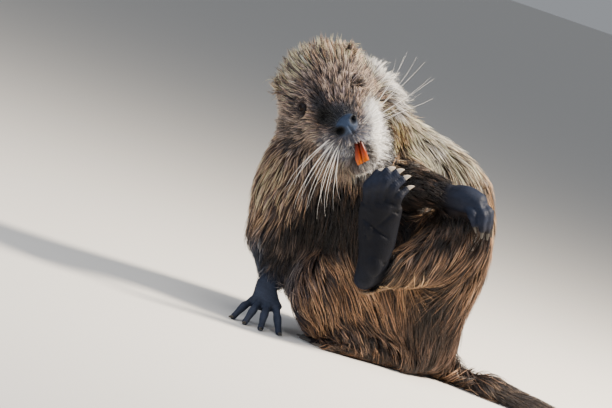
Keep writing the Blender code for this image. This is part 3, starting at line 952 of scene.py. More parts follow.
class Guide:
    """A coarse, even copy of the flesh's outer surface that holds the coat's rows and an unwrap."""

    GROW = 1.2
    VOXEL = 5.0
    SMOOTH_ROUNDS = 4
    BLEND_ROUNDS = 9
    BARE_ROUNDS = 2
    LAID_DOWN = 0.9
    FACE_SPREAD = (0.8, 1, 1)
    FACE_BACK = (0, 30, 0)

    def __init__(self):
        heap = Heap()
        for name in FLESH:
            heap.add_node(name, self.GROW)
        obj = heap.object("guide")
        remesh(obj, self.VOXEL)
        mesh = obj.data
        places = relax(mesh_places(mesh), mesh_edges(mesh), self.SMOOTH_ROUNDS)
        set_places(mesh, places)
        self.rows = self.make_rows(places, mesh_normals(mesh), mesh_edges(mesh))
        self.unwrap = self.make_unwrap(obj)
        self.surface = Surface(mesh)
        bpy.data.objects.remove(obj)

    def make_rows(self, places, normals, edges):
        """Each place's row from the coat that it lies in, laid along the surface and blended across it."""
        labels = flesh_labels(places)
        rows = np.array([COATS[name].row for name in FLESH])[labels]
        rows[:, LIE] = turned(rows[:, LIE], POSE)
        head = np.isin(labels, [FLESH.index(name) for name in ("head", "lower_jaw", "nose")])
        points = placed(places[head], HEAD.inverted())
        rows[head, LIE] = turned(unit(points * self.FACE_SPREAD + self.FACE_BACK), HEAD)
        for _ in range(self.BLEND_ROUNDS):
            lie = rows[:, LIE]
            lie = unit(lie - normals * (lie * normals).sum(1)[:, None] * self.LAID_DOWN)
            rows[:, LIE] = unit(relax(lie, edges, 1))
        apart = (*range(LIE.start, LIE.stop), BARE)
        soft = [column for column in range(rows.shape[1]) if column not in apart]
        rows[:, soft] = relax(rows[:, soft], edges, self.BLEND_ROUNDS)
        rows[:, [BARE]] = relax(rows[:, [BARE]], edges, self.BARE_ROUNDS)
        return rows

    @staticmethod
    def make_unwrap(obj):
        """The place on the unwrap of each corner of each triangle."""
        bpy.context.view_layer.objects.active = obj
        obj.select_set(True)
        bpy.ops.object.mode_set(mode="EDIT")
        bpy.ops.mesh.select_all(action="SELECT")
        bpy.ops.uv.smart_project(angle_limit=math.radians(66), island_margin=0.004)
        bpy.ops.object.mode_set(mode="OBJECT")
        mesh = obj.data
        mesh.calc_loop_triangles()
        loops = np.empty(len(mesh.loop_triangles) * 3, np.int32)
        mesh.loop_triangles.foreach_get("loops", loops)
        flat = np.empty(len(mesh.loops) * 2, np.float32)
        mesh.uv_layers.active.data.foreach_get("uv", flat)
        return flat.reshape(-1, 2)[loops.reshape(-1, 3)]

    def read(self, places):
        """The coat's rows and the unwrap's places for rows of points."""
        _, numbers, weights = self.surface.nearest(places)
        rows = self.surface.read(self.rows, numbers, weights)
        rows[:, LIE] = unit(rows[:, LIE])
        unwrap = (self.unwrap[numbers] * weights[:, :, None]).sum(1)
        return painted_rows(rows, places), unwrap


# ---------------------------------------------------------------- the skin

EYE_OUT = unit(np.array((0.68, -0.50, 0.54)))
EYE_LONG = unit(np.array((0.30, 0.80, 0.20)))
EYE_SINK = 1.3
LID_WIDTH = 4.6
LID_HEIGHTS = {LEFT: 0.9, RIGHT: 3.2}
LID_THICK = 1.0
LID_REACH = 13
LID_BACK = -6
LID_HOLD = (EYE_RADIUS - 0.6, EYE_RADIUS + 4.2)
LID_RIM = 0.12
LID_FOLD = 0.5
SLIT_EDGE = (0.90, 1.06)
SLIT_SINK = 1.6
NOSTRIL = (10.2, 2.0, 0.0)
MUZZLE_SWELL = {LEFT: 7.0, RIGHT: 2.5}
DENT_EDGE = 1.6


def eye_frame(side):
    """The middle, and the directions out of, along and up the eye on one side, in HEAD."""
    out = mirrored(EYE_OUT, side)
    along = mirrored(EYE_LONG, side)
    along = unit(along - out * (along @ out))
    return mirrored(EYE_PLACE, side) - out * EYE_SINK, out, along, np.cross(out, along) * side


def dent(points, centre, radii, heading, depth):
    """The moves that push points along heading, by depth millimetres at the oval's centre."""
    reach = oval_reach(points, centre, radii)
    return unit(np.array(heading, float)) * (depth * np.exp(-(reach**2) * DENT_EDGE))[:, None]


def sculpt_eyes(points):
    """Almond lids over each eyeball, with a rolled rim and a fold outside it."""
    for side in SIDES:
        middle, out, along, up = eye_frame(side)
        to = points - middle
        x, y, z = to @ along, to @ up, to @ out
        flat = np.sqrt(x**2 + y**2)
        opening = np.sqrt((x / LID_WIDTH) ** 2 + (y / LID_HEIGHTS[side]) ** 2)
        near = (flat < LID_REACH) & (z > LID_BACK)
        ball_height = np.sqrt(np.maximum(EYE_RADIUS**2 - flat**2, 0))
        dome = np.sqrt(np.maximum((EYE_RADIUS + LID_THICK) ** 2 - flat**2, 0))
        dome += LID_RIM * ridge(opening, 1.22, 0.20) - LID_FOLD * ridge(opening, 1.9, 0.25)
        held = np.where(near, 1 - smooth_step(flat, *LID_HOLD), 0)
        inside = np.where(near, 1 - smooth_step(opening, *SLIT_EDGE), 0)
        height = z + (dome - z) * held
        height += (ball_height - SLIT_SINK - height) * inside
        points = points + out * (height - z)[:, None]
    return points


def sculpt_nose(points):
    """The pad, the nostrils with their raised outer rims, and the groove under them, in NOSE."""
    points = points + dent(points, (0, 0, -1), (9, 9, 6.5), (0, -1, 0.15), 1.2)
    x, y, z = NOSTRIL
    for side in SIDES:
        points = points + dent(points, (side * x, y - 1, z + 4.4), (5.5, 5, 2.4), (side * 0.3, -1, 0.6), 1.6)
        points = points + dent(points, (side * (x + 4.2), y + 2, z), (2.2, 5, 4.4), (side, -0.6, 0), 1.2)
        points = points + dent(points, (side * x, y, z - 0.3), (4.7, 7.5, 3.7), (-side * 0.35, 1, -0.05), 8)
    return points + dent(points, (0, 0, -9), (1.5, 8, 9), (0, 1, 0), 3.0)


def sculpt_face(points):
    """The muzzle's swellings, the hollow over the nose, the lips and the mouth, in HEAD."""
    for side in SIDES:
        swell = MUZZLE_SWELL[side]
        points = points + dent(points, (side * 10, 9, -17), (9, 9, 9), (side * 0.6, -1, 0), 2.6)
        points = points + dent(points, (side * 27, 42, -26), (14, 22, 19), (side, -0.3, -0.1), swell)
    points = points + dent(points, (-11.5, 30, 7), (7.5, 10, 7.5), (0.05, 0.8, -0.6), 10.0)
    points = points + dent(points, (0, 8, -34), (9, 12, 9), (0, 1, 0.05), 9.0)
    return points + dent(points, (0, 10, -26), (11, 10, 3), (0, 1, 0.2), 3.0)


# The creases of the raised sole run between these places in POSE.
SOLE_CREASES = [
    ((-72, -124, 186), (-36, -124, 158)),
    ((-70, -122, 168), (-44, -124, 190)),
    ((-74, -124, 203), (-36, -124, 193)),
    ((-66, -118, 150), (-50, -118, 138)),
]
CREASE_WIDTH = 2.0
CREASE_SHARE = 5.0
FOLD_SPACING = 2.6
FOLD_REACH = 1.9
FOLD_DEPTH = 0.32


def bone_folds(places, first, second, half):
    """Rings of 0 to 1 round one bone of a digit, and 0 away from it."""
    along = second - first
    length = np.linalg.norm(along)
    along = along / length
    t = (places - first) @ along
    radial = np.linalg.norm(places - first - t[:, None] * along, axis=1)
    inside = (radial < half * FOLD_REACH) & (t > -2) & (t < length + 2)
    return np.where(inside, np.maximum(0, np.cos(t * 2 * math.pi / FOLD_SPACING)) ** 2, 0)


def paw_folds(places, bare):
    """How deep the knuckle folds and the creases of the raised sole are at each place."""
    folds = np.zeros(len(places))
    for digits, matrix, _ in DIGITS.values():
        for digit in digits:
            base, joint, tip = placed(np.array(digit_places(digit)), matrix)
            for first, second in ((base, joint), (joint, tip)):
                folds = np.maximum(folds, bone_folds(places, first, second, digit[3]))
    points = placed(places, POSE.inverted())
    for start, end in SOLE_CREASES:
        start, end = np.array(start, float), np.array(end, float)
        along = unit(end - start)
        t = np.clip((points - start) @ along, 0, np.linalg.norm(end - start))
        away = np.linalg.norm(points - start - t[:, None] * along, axis=1)
        folds = np.maximum(folds, ridge(away, 0, CREASE_WIDTH) * CREASE_SHARE)
    return folds * np.clip(bare, 0, 1)


class Skin:
    """The one skin, its surface, and the coat's rows at each of its points."""

    GROW = 0.6
    EYE_SOCKET = (6.6, 6.6, 6.6)
    NOSE_BALL = ((0, 8, 0), (14.5, 9.5, 9.5))
    SMOOTH_ROUNDS = 34
    SMOOTH_FINE = 0.06
    NORMAL_ROUNDS = 8
    FINE_NODES = (*PAWS, "nose", *EARS)
    FINE_FACE = ((-55, -10, -75), (55, 78, 75))
    FINE_HOLD = 6.0
    EYE_REACH = 10.5
    NOSTRIL_REACH = 8.5
    SPLITS = 2
    SCULPTED_FACE = ((-60, -200, -90), (60, 90, 90))
    SCULPTED_NOSE = 45
    FLOOR_GAP = 0.2

    def __init__(self, guide, voxel, most):
        obj = self.gather()
        remesh(obj, voxel)
        fine = self.sink(obj.data, guide)
        self.thin(obj, fine, most)
        self.refine(obj)
        self.sculpt(obj.data, guide)
        self.object = obj
        self.surface = Surface(obj.data)

    def gather(self):
        """Every form of the flesh in one mesh."""
        heap = Heap()
        for name in FLESH:
            if name in EARS:
                heap.add_node(name, self.GROW, turned(np.array(EARS[name]), HEAD))
            elif name not in PAWS:
                heap.add_node(name, self.GROW)
        for side in SIDES:
            heap.add(ball(mirrored(EYE_PLACE, side), self.EYE_SOCKET, HEAD))
        heap.add(ball(*self.NOSE_BALL, NOSE))
        add_paws(heap)
        return heap.object("skin")

    def sink(self, mesh, guide):
        """Smooth the skin and move it in by the coat's depth. Tells which places have to stay fine."""
        places, edges = mesh_places(mesh), mesh_edges(mesh)
        rows, _ = guide.read(places)
        fine = np.isin(flesh_labels(places), [FLESH.index(name) for name in self.FINE_NODES])
        soft = relax(np.where(fine, self.SMOOTH_FINE, 1.0)[:, None], edges, 6)
        places = relax(places, edges, self.SMOOTH_ROUNDS, soft)
        set_places(mesh, places)
        normals = unit(relax(mesh_normals(mesh), edges, self.NORMAL_ROUNDS, soft))
        depth = relax(rows[:, [DEPTH]], edges, 3) + (self.GROW * (1 - fine))[:, None]
        set_places(mesh, places - normals * depth)
        return fine | in_box(placed(places, HEAD.inverted()), self.FINE_FACE)

    def thin(self, obj, fine, most):
        """Take triangles out, and most of them away from the places that have to stay fine."""
        group = obj.vertex_groups.new(name="fine")
        group.add(np.nonzero(fine)[0].tolist(), 1.0, "REPLACE")
        change = obj.modifiers.new("thin", "DECIMATE")
        change.ratio = min(1.0, most / (len(obj.data.polygons) * 2))
        change.vertex_group = "fine"
        change.invert_vertex_group = True
        change.vertex_group_factor = self.FINE_HOLD
        change.use_collapse_triangulate = True
        bake_modifiers(obj)
        obj.vertex_groups.clear()

    def refine(self, obj):
        """Split the mesh finer round the eyes and nostrils, where the lids and pits are small."""
        spots = []
        for side in SIDES:
            spots.append((eye_frame(side)[0], HEAD, self.EYE_REACH))
        for side in SIDES:
            spots.append((mirrored(NOSTRIL, side), NOSE, self.NOSTRIL_REACH))
        mesh = bmesh.new()
        mesh.from_mesh(obj.data)
        chosen = set()
        for place, matrix, reach in spots:
            centre = Vector(placed(np.array([place]), matrix)[0] * MM)
            chosen |= {edge for edge in mesh.edges if (edge.verts[0].co - centre).length < reach * MM}
        bmesh.ops.subdivide_edges(mesh, edges=list(chosen), cuts=self.SPLITS, use_grid_fill=True)
        bmesh.ops.triangulate(mesh, faces=mesh.faces)
        mesh.to_mesh(obj.data)
        mesh.free()

    def sculpt(self, mesh, guide):
        """Shape the face, the nose and the paws, and keep the skin over the floor."""
        places = relax(mesh_places(mesh), mesh_edges(mesh), 2, 0.3)
        points = placed(places, HEAD.inverted())
        near = in_box(points, self.SCULPTED_FACE)
        points[near] = sculpt_eyes(sculpt_face(points[near]))
        places[near] = placed(points[near], HEAD)
        points = placed(places, NOSE.inverted())
        near = np.linalg.norm(points, axis=1) < self.SCULPTED_NOSE
        places[near] = placed(sculpt_nose(points[near]), NOSE)
        set_places(mesh, places)
        self.rows, _ = guide.read(places)
        folds = paw_folds(places, self.rows[:, BARE])
        places = places - mesh_normals(mesh) * (folds * FOLD_DEPTH)[:, None]
        places[:, 2] = np.maximum(places[:, 2], self.FLOOR_GAP)
        set_places(mesh, places)
        mesh.shade_smooth()


# ---------------------------------------------------------------- the coat


class Locks:
    """Solid locks that grow from the skin: their middle lines, their colours and their unwrap.

    Some are strands: thin, long and bright ones on top, lit up and made golden as a painted highlight.
    The others fill the coat under them, tinted cool as a painted reflection of the sky.
    """

    # How a lock is laid. Pairs are the least and the most of a random share.
    STEPS = 4
    BARE_LIMIT = 0.6
    ROOT_SINK = 0.6
    SWIRLS = ((38, 11, 0.26), (11, 12, 0.14))
    SWIRL_LOOSE = 0.09
    TURNS = (1.6, 0.7, 0.7, 0.7)
    LENGTHS = (0.72, 1.2)
    LAYERS = (0.25, 1.0)
    LIFTS = (0.3, 1.5)
    RISE_OVER = 0.62
    RISE_TOP = 1.04
    RISE_DROP = 0.12
    MOST_DRIFT = 6
    DRIFT_BACK = 0.6
    FLOOR_CLEAR = 1.2
    CEILING = CAD_BOX[1][2] / MM + 17

    # How its tip is drawn to its neighbours' and how thick it is.
    SPIKY = (0.3, 0.7)
    PULLS = (0.55, 1.0)
    MOST_PULL = 0.96
    PROFILE = (0.70, 1.0, 0.86, 0.52)
    FLATNESS = 0.62
    WIDTHS = (0.6, 1.25)
    PATCH = 0.003

    # How a strand differs. Its extra lightness and golden tint are a painted highlight over its own golden
    # colour, and the other locks' cool tint is a painted reflection of the sky.
    STRAND_LENGTH = 1.25
    STRAND_LAYER = 1.04
    STRAND_PULL = 0.45
    STRAND_WIDTH = 0.62
    STRAND_HIGHLIGHT = 1.6
    STRAND_HIGHLIGHT_TINT = (1.03, 0.98, 0.86)
    UNDER_SKY_TINT = (0.94, 1.0, 1.16)

    # How light a tip is, and how much of its colour is in each ring from the root to the tip.
    PALE = (0.78, 0.92)
    LIGHT = (0.45, 0.70)
    LOOSE_LIGHT = 0.26
    DULL_SHARE = 0.36
    LOOSE_WARMTH = 0.04
    WARMTH = (1, 0.2, -1.2)
    TIP_LIMITS = (0.003, 0.95)
    TIP_SHARES = (0.0, 0.08, 0.36, 0.80, 1.0)

    def __init__(self, skin, guide, chosen, source, sizes):
        self.source = source
        surface = skin.surface
        numbers, weights = self.plant(skin, chosen, sizes.density)
        roots = surface.read(surface.places, numbers, weights)
        rows, unwrap = guide.read(roots)
        fit = rows[:, BARE] < self.BARE_LIMIT
        self.rows, self.unwrap, roots = rows[fit], unwrap[fit], roots[fit]
        self.normals = [surface.normals_at(numbers[fit], weights[fit])]
        self.count = len(roots)
        self.march(surface, roots, sizes)
        self.clump(roots, sizes)

    def plant(self, skin, chosen, density):
        """Each lock's triangle and weights in it, with more locks where the coat is close."""
        corners = skin.surface.triangles
        rows = skin.rows[corners].mean(1)
        wanted = skin.surface.areas() / rows[:, SPACING] ** 2 * (1 - np.clip(rows[:, BARE], 0, 1)) ** 2
        total = np.cumsum(wanted * chosen[corners].mean(1) * density)
        count = int(total[-1])
        steps = (np.arange(count) + self.source.uniform(size=count)) * total[-1] / count
        numbers = np.minimum(np.searchsorted(total, steps), len(corners) - 1)
        return numbers, self.source.dirichlet((1, 1, 1), count)

    def march(self, surface, roots, sizes):
        """Lay each lock along the skin in even steps, rising from the root to the coat's outer face."""
        source, rows = self.source, self.rows
        swirl = sum(waves(roots, size, seed) * much for size, seed, much in self.SWIRLS)
        swirl = swirl + source.normal(0, self.SWIRL_LOOSE, self.count)
        self.strand = source.uniform(size=self.count) < sizes.strands
        self.length = rows[:, LENGTH] * source.uniform(*self.LENGTHS, self.count) * sizes.length
        self.length = np.where(self.strand, self.length * self.STRAND_LENGTH, self.length)
        layers = source.uniform(*self.LAYERS, self.count) ** 0.7
        self.layer = np.where(self.strand, self.STRAND_LAYER, layers)
        lift = rows[:, LIFT] * self.length * source.uniform(*self.LIFTS, self.count) * sizes.lift
        heading = rows[:, LIE]
        lines = [roots - self.normals[0] * self.ROOT_SINK]
        foot = roots
        for step, turn in enumerate(self.TURNS, 1):
            normal = self.normals[-1]
            heading = unit(heading + np.cross(normal, heading) * (swirl / self.STEPS * turn)[:, None])
            heading = unit(heading - normal * (heading * normal).sum(1)[:, None])
            foot = foot + heading * (self.length / self.STEPS)[:, None]
            found, numbers, weights = surface.nearest(foot)
            normal = surface.normals_at(numbers, weights)
            share = step / self.STEPS
            rise = rows[:, DEPTH] * self.layer * smooth_step(share, 0.0, self.RISE_OVER)
            rise = rise * (self.RISE_TOP - self.RISE_DROP * share)
            drift = np.linalg.norm(foot - found, axis=1)
            back = unit(foot - found) * (drift - self.MOST_DRIFT)[:, None] * self.DRIFT_BACK
            foot = np.where((drift > self.MOST_DRIFT)[:, None], foot - back, found)
            self.normals.append(normal)
            lines.append(foot + normal * (rise + lift * share**2)[:, None])
        self.lines = self.kept_inside(np.stack(lines, axis=1))

    def kept_inside(self, lines):
        """The lines, over the floor and under the highest place that a lock may reach."""
        lines[:, :, 2] = np.clip(lines[:, :, 2], self.FLOOR_CLEAR, self.CEILING)
        return lines

    def clump(self, roots, sizes):
        """Draw the tips of neighbouring locks together, as wet or oily hair dries."""
        middles = self.source.permutation(self.count)[: max(1, int(self.count / sizes.clump))]
        tree = kdtree.KDTree(len(middles))
        for number, middle in enumerate(middles.tolist()):
            tree.insert(roots[middle], number)
        tree.balance()
        self.group = np.array([tree.find(place)[1] for place in roots.tolist()])
        leader = middles[self.group]
        spiky = smooth_step(self.rows[:, LIFT], *self.SPIKY)
        pull = sizes.pull * self.source.uniform(*self.PULLS, self.count) + 0.2 * spiky
        far = np.linalg.norm(roots[leader] - roots, axis=1)
        pull = np.minimum(pull, self.MOST_PULL) * (far < self.length * 0.5)
        pull = pull * np.where(self.strand, self.STRAND_PULL, 1.0)
        shares = (np.arange(self.STEPS + 1) / self.STEPS) ** 1.5
        offset = self.lines[leader] - self.lines
        offset[:, 0] = 0
        self.lines = self.kept_inside(self.lines + offset * (pull[:, None] * shares)[:, :, None])

    def colors(self, tint):
        """The colour of each lock's rings and tip."""
        source, rows = self.source, self.rows
        mean = rows[:, TIP].mean(1)
        pale = smooth_step(mean, *self.PALE)
        spiky = smooth_step(rows[:, LIFT], *self.SPIKY)
        groups = source.normal(0, 1, self.group.max() + 1)[self.group]
        loose = source.normal(0, self.LOOSE_LIGHT, self.count)
        spread = (0.62 + 0.25 * spiky) * (1 - pale * 0.7)
        bright = np.exp(groups * spread + loose - 0.10 + 0.25 * pale)
        under = 0.08 + 0.27 * smooth_step(self.layer, 0.3, 0.95)
        under = under + (0.95 - under) * pale
        # Strands are made lighter as a painted highlight.
        bright = np.where(self.strand, bright * self.STRAND_HIGHLIGHT, bright * under)
        tip = rows[:, TIP] * bright[:, None] * np.array(tint)
        dull = self.DULL_SHARE * (1 - pale) * (1 - 0.9 * np.tanh(groups * 1.2))
        dark = (source.uniform(size=self.count) < dull) & ~self.strand
        tip = np.where(dark[:, None], rows[:, ROOT_COLOR] * 1.4 + tip * 0.10, tip)
        warm = source.normal(0, self.LOOSE_WARMTH, self.count)[:, None] * np.array(self.WARMTH) + 1
        # Strands are warmed as a painted golden highlight, and the others cooled as a painted reflection of
        # the sky.
        tip = tip * warm * np.where(self.strand[:, None], self.STRAND_HIGHLIGHT_TINT, self.UNDER_SKY_TINT)
        most = 1.05 + 0.30 * smooth_step(mean, *self.LIGHT) + 0.3 * pale
        tip = np.clip(tip * np.minimum(1, most / tip.max(1))[:, None], *self.TIP_LIMITS)
        shares = np.array(self.TIP_SHARES)[None, :, None]
        return rows[:, None, ROOT_COLOR] * (1 - shares) + tip[:, None] * shares

    def runs(self, most):
        """The locks' numbers, in runs of at most this many."""
        return np.array_split(np.arange(self.count), max(1, math.ceil(self.count / most)))

    def build(self, name, chosen, colors, sizes):
        """Make one closed, tapered, three-sided form for each chosen lock."""
        places = self.corners(chosen, sizes.width)
        count, points = places.shape[:2]
        faces = self.faces() + np.arange(count)[:, None, None] * points
        triangles = faces.reshape(-1, 3)
        obj = fast_object(name, places.reshape(-1, 3), triangles)
        shade = np.ones((count, points, 4), np.float32)
        shade[:, :-1, :3] = np.repeat(colors[chosen][:, : len(self.PROFILE)], 3, axis=1)
        shade[:, -1, :3] = colors[chosen][:, -1]
        paint(obj.data, shade.reshape(-1, 4))
        flat = self.unwrap[chosen][:, None] + self.patch()
        layer = obj.data.uv_layers.new(name="OFBake")
        layer.data.foreach_set("uv", flat.reshape(-1, 2)[triangles.ravel()].astype(np.float32).ravel())
        return obj

    def corners(self, chosen, width):
        """Each chosen lock's three corners in each ring, and its tip."""
        lines = self.lines[chosen]
        tangents = unit(np.gradient(lines, axis=1))
        normals = np.stack([normal[chosen] for normal in self.normals], axis=1)
        across = unit(np.cross(tangents, normals))
        above = np.cross(across, tangents)
        half = self.rows[chosen, WIDTH] * 0.5 * self.source.uniform(*self.WIDTHS, len(chosen)) * width
        half = np.where(self.strand[chosen], half * self.STRAND_WIDTH, half)
        rings = []
        for ring, share in enumerate(self.PROFILE):
            wide = across[:, ring] * (half * share)[:, None]
            high = above[:, ring] * (half * share * self.FLATNESS)[:, None]
            centre = lines[:, ring]
            rings += [centre - wide - high * 0.5, centre + wide - high * 0.5, centre + high]
        return np.stack([*rings, lines[:, -1]], axis=1)

    def faces(self):
        """One lock's triangles: the root, the sides between the rings, and the tip."""
        last = len(self.PROFILE) * 3
        faces = [(0, 2, 1)]
        for ring in range(len(self.PROFILE) - 1):
            for corner in range(3):
                here, after = ring * 3 + corner, ring * 3 + (corner + 1) % 3
                faces += [(here, after, after + 3), (here, after + 3, here + 3)]
        for corner in range(3):
            faces.append((last - 3 + corner, last - 3 + (corner + 1) % 3, last))
        return np.array(faces)[None]

    def patch(self):
        """One lock's small patch on the unwrap, with its tip in the middle."""
        turns = np.tile(np.arange(3) / 3 * 2 * math.pi, len(self.PROFILE))
        reach = np.repeat(np.linspace(1.0, 0.3, len(self.PROFILE)), 3) * self.PATCH / 2
        patch = np.column_stack([np.cos(turns) * reach, np.sin(turns) * reach])
        return np.vstack([patch, (0, 0)])[None]


def paint(mesh, colors):
    """Store one colour for each point, as the attribute that the materials read."""
    layer = mesh.color_attributes.new(name="shade", type="FLOAT_COLOR", domain="POINT")
    layer.data.foreach_set("color", colors.astype(np.float32).ravel())


# ---------------------------------------------------------------- materials


def fur_material(name, roughness, specular):
    shader = Shader(name, Specular_IOR_Level=specular, Sheen_Weight=0.05, Sheen_Roughness=0.4)
    shade = shader.attribute("shade", color=True)
    fine = shader.noise(900, detail=2)
    color = shader.mix(fine * 0.35, shade, (0.02, 0.012, 0.008), blend="MULTIPLY")
    return shader.finish(Base_Color=color, Roughness=roughness + fine * 0.16)


def skin_material():
    """Hide: dull between the locks, and fine-scaled, creased and damp where it is bare."""
    shader = Shader("hide", Specular_IOR_Level=0.12)
    shade = shader.attribute("shade", color=True)
    bare = shader.attribute("bare")
    scales = shader.cells(620)
    broad = shader.noise(70, detail=4)
    pores = shader.noise(1500, detail=2)
    color = shader.mix(scales * 0.9, shade, (0.55, 0.6, 0.72), blend="MULTIPLY")
    color = shader.mix(broad, color, shade)
    rough = 0.78 - bare * 0.28 + broad * 0.10 + pores * 0.05
    height = scales * 0.55 + broad * 0.5 + pores * 0.2
    return shader.finish(Base_Color=color, Roughness=rough, Normal=shader.bump(height, 0.0006, 0.55))


def eye_material():
    shader = Shader("wet eye", Specular_IOR_Level=0.07, Coat_Roughness=0.08)
    depth = shader.noise(420, detail=3)
    color = shader.ramp(depth, [(0.35, (0.004, 0.003, 0.003)), (0.75, (0.022, 0.012, 0.007))])
    return shader.finish(Base_Color=color, Roughness=0.08 + depth * 0.04, Coat_Weight=depth * 0.1)


def enamel_material(color):
    shader = Shader("orange enamel", Specular_IOR_Level=0.25, Coat_Roughness=0.15)
    streaks = shader.noise(900, detail=3, place=shader.place() * (1, 1, 0.12))
    stain = shader.noise(160, detail=3)
    along = shader.attribute("along")
    # Painted light and shade: the enamel darkens towards the gum and lightens towards the tip.
    base = shader.mix(along, [part * 0.30 for part in color], [min(1, part * 1.25) for part in color])
    base = shader.mix(streaks * along * along * 0.35, base, (0.70, 0.15, 0.003))
    # A painted glint at the very tip.
    base = shader.mix(along**9 * 0.3, base, (0.90, 0.30, 0.008))
    base = shader.mix(stain * 0.5, base, (0.55, 0.25, 0.12), blend="MULTIPLY")
    normal = shader.bump(streaks * 0.7 + stain * 0.3, 0.0002, 0.4)
    return shader.finish(Base_Color=base, Roughness=0.24 + stain * 0.2, Normal=normal)


def horn_material(name, color, pale):
    shader = Shader(name, Specular_IOR_Level=0.5)
    grain = shader.noise(1100, detail=3, place=shader.place() * (1, 1, 0.3))
    dirt = shader.noise(240, detail=3)
    base = shader.mix(grain * 0.7, color, [0.34 * pale * part for part in (1, 0.85, 0.7)])
    base = shader.mix(dirt * 0.5, base, [0.22 * pale * part for part in (1, 0.8, 0.6)])
    normal = shader.bump(grain, 0.0002, 0.5)
    return shader.finish(Base_Color=base, Roughness=0.32 + dirt * 0.3, Normal=normal)


def whisker_material(color):
    shader = Shader("whisker", Specular_IOR_Level=0.6)
    grain = shader.noise(500, detail=2)
    base = shader.mix(grain, color, (0.80, 0.78, 0.74))
    return shader.finish(Base_Color=base, Roughness=0.34 + grain * 0.12)


def floor_material(color):
    shader = Shader("floor", Specular_IOR_Level=0.25)
    grain = shader.noise(5, detail=3)
    base = shader.mix(grain * 0.08, color, (0.62, 0.60, 0.57))
    return shader.finish(Base_Color=base, Roughness=0.85 + grain * 0.1)


def give(obj, material):
    obj.data.materials.clear()
    obj.data.materials.append(material)


# ---------------------------------------------------------------- sizes and colours that a user can change


def color_property(name, words, default):
    return bpy.props.FloatVectorProperty(
        name=name, description=words, subtype="COLOR", size=3, min=0, max=1, default=default
    )


def number_property(name, words, default, low, high, **settings):
    return bpy.props.FloatProperty(
        name=name, description=words, default=default, min=low, max=high, **settings
    )


class SkinSizes(bpy.types.PropertyGroup):
    voxel: number_property(
        "Grain",
        "Size of the cubes that the skin is first made from",
        0.0012,
        0.0008,
        0.004,
        subtype="DISTANCE",
    )
    most: bpy.props.IntProperty(
        name="Triangles",
        description="The most triangles in the skin, before it is split finer round the eyes and nostrils",
        default=188000,
        min=20000,
        max=199000,
    )


class CoatSizes(bpy.types.PropertyGroup):
    density: number_property("Density", "Share of the usual number of locks", 1.105, 0.05, 1.3)
    length: number_property("Length", "Share of the usual length of a lock", 1.0, 0.3, 1.5)
    width: number_property("Width", "Share of the usual width of a lock", 0.9, 0.3, 2.0)
    lift: number_property("Lift", "Share of the usual lift of a lock's tip", 1.0, 0.0, 2.0)
    clump: number_property("Clump", "Locks drawn together into one point", 12.0, 1.0, 30.0)
    pull: number_property("Pull", "How far the tips of a clump are drawn together", 0.84, 0.0, 1.0)
    strands: number_property("Strands", "Share of the locks that are thin, long and bright", 0.27, 0.0, 1.0)
    seed: bpy.props.IntProperty(name="Seed", description="Start of the random numbers", default=SEED, min=0)
    tint: color_property("Tint", "Multiplies the colour of every lock's tip", (1.0, 1.0, 1.0))


WHISKER_WIDTH = 0.0006
WHISKER_SIDES = 6


class WhiskerSizes(bpy.types.PropertyGroup):
    width: number_property(
        "Width",
        "Width of a whisker at its root",
        WHISKER_WIDTH,
        0.0002,
        0.003,
        unit="LENGTH",
        subtype="DISTANCE",
    )
    length: number_property("Length", "Share of the usual length of a whisker", 1.0, 0.2, 2.0)
    color: color_property("Colour", "Colour of the whiskers", (0.88, 0.86, 0.82))


class HardPartSizes(bpy.types.PropertyGroup):
    enamel: color_property("Enamel", "Colour of the front teeth", (0.20, 0.018, 0.001))
    horn: color_property("Horn", "Colour of the claws", (0.52, 0.46, 0.39))
    tooth_width: number_property(
        "Tooth width", "Width of one front tooth", 0.007, 0.003, 0.012, unit="LENGTH", subtype="DISTANCE"
    )


class StageSizes(bpy.types.PropertyGroup):
    floor: color_property("Floor", "Colour of the floor", (0.66, 0.645, 0.62))
    key: number_property("Key light", "Power of the warm light", 1.0, 0.0, 10.0)
    fill: number_property("Fill light", "Power of the cool light", 1.0, 0.0, 10.0)


GROUPS = {
    "coypu_skin": SkinSizes,
    "coypu_coat": CoatSizes,
    "coypu_whiskers": WhiskerSizes,
    "coypu_hard": HardPartSizes,
    "coypu_stage": StageSizes,
}


# ---------------------------------------------------------------- whiskers

# Each whisker is its root in HEAD and the way from there to its tip in POSE.
WHISKERS = [
    ((19, 14, -8), (50, -2, 80)),
    ((20, 17, -10), (58, 4, 74)),
    ((21, 20, -9), (66, 8, 66)),
    ((20, 16, -12), (72, 2, 54)),
    ((22, 22, -12), (74, 12, 50)),
    ((18, 11, -10), (38, -16, 76)),
    ((22, 24, -8), (44, 10, 70)),
    ((21, 13, -14), (62, -14, 40)),
    ((22, 25, -16), (70, 16, 30)),
    ((20, 19, -17), (52, -4, 28)),
    ((-17, 12, -13), (-34, -14, -54)),
    ((-19, 17, -17), (-27, -16, -62)),
    ((-16, 11, -20), (-12, -18, -66)),
    ((-20, 22, -12), (-46, -8, -46)),
    ((-20, 26, -20), (-24, -4, -58)),
    ((-17, 14, -24), (-4, -16, -60)),
    ((-21, 28, -14), (-42, 4, -52)),
    ((-19, 16, -9), (-38, -14, -44)),
    ((-15, 9, -17), (-16, -24, -54)),
    ((-18, 22, -25), (-10, -6, -56)),
    ((-21, 31, -19), (-30, 0, -50)),
    ((-18, 19, -21), (-18, -12, -68)),
    ((-16, 13, -22), (3, -18, -50)),
    ((-20, 24, -16), (-36, -10, -60)),
]
WHISKER_STEPS = 14
WHISKER_SINK = 1.5
WHISKER_TAPER = 0.88

# How far whiskers bow out and sag, as shares of their length: those that rise, and those that hang.
RISING = (0.34, 0.05)
HANGING = (0.55, 0.14)


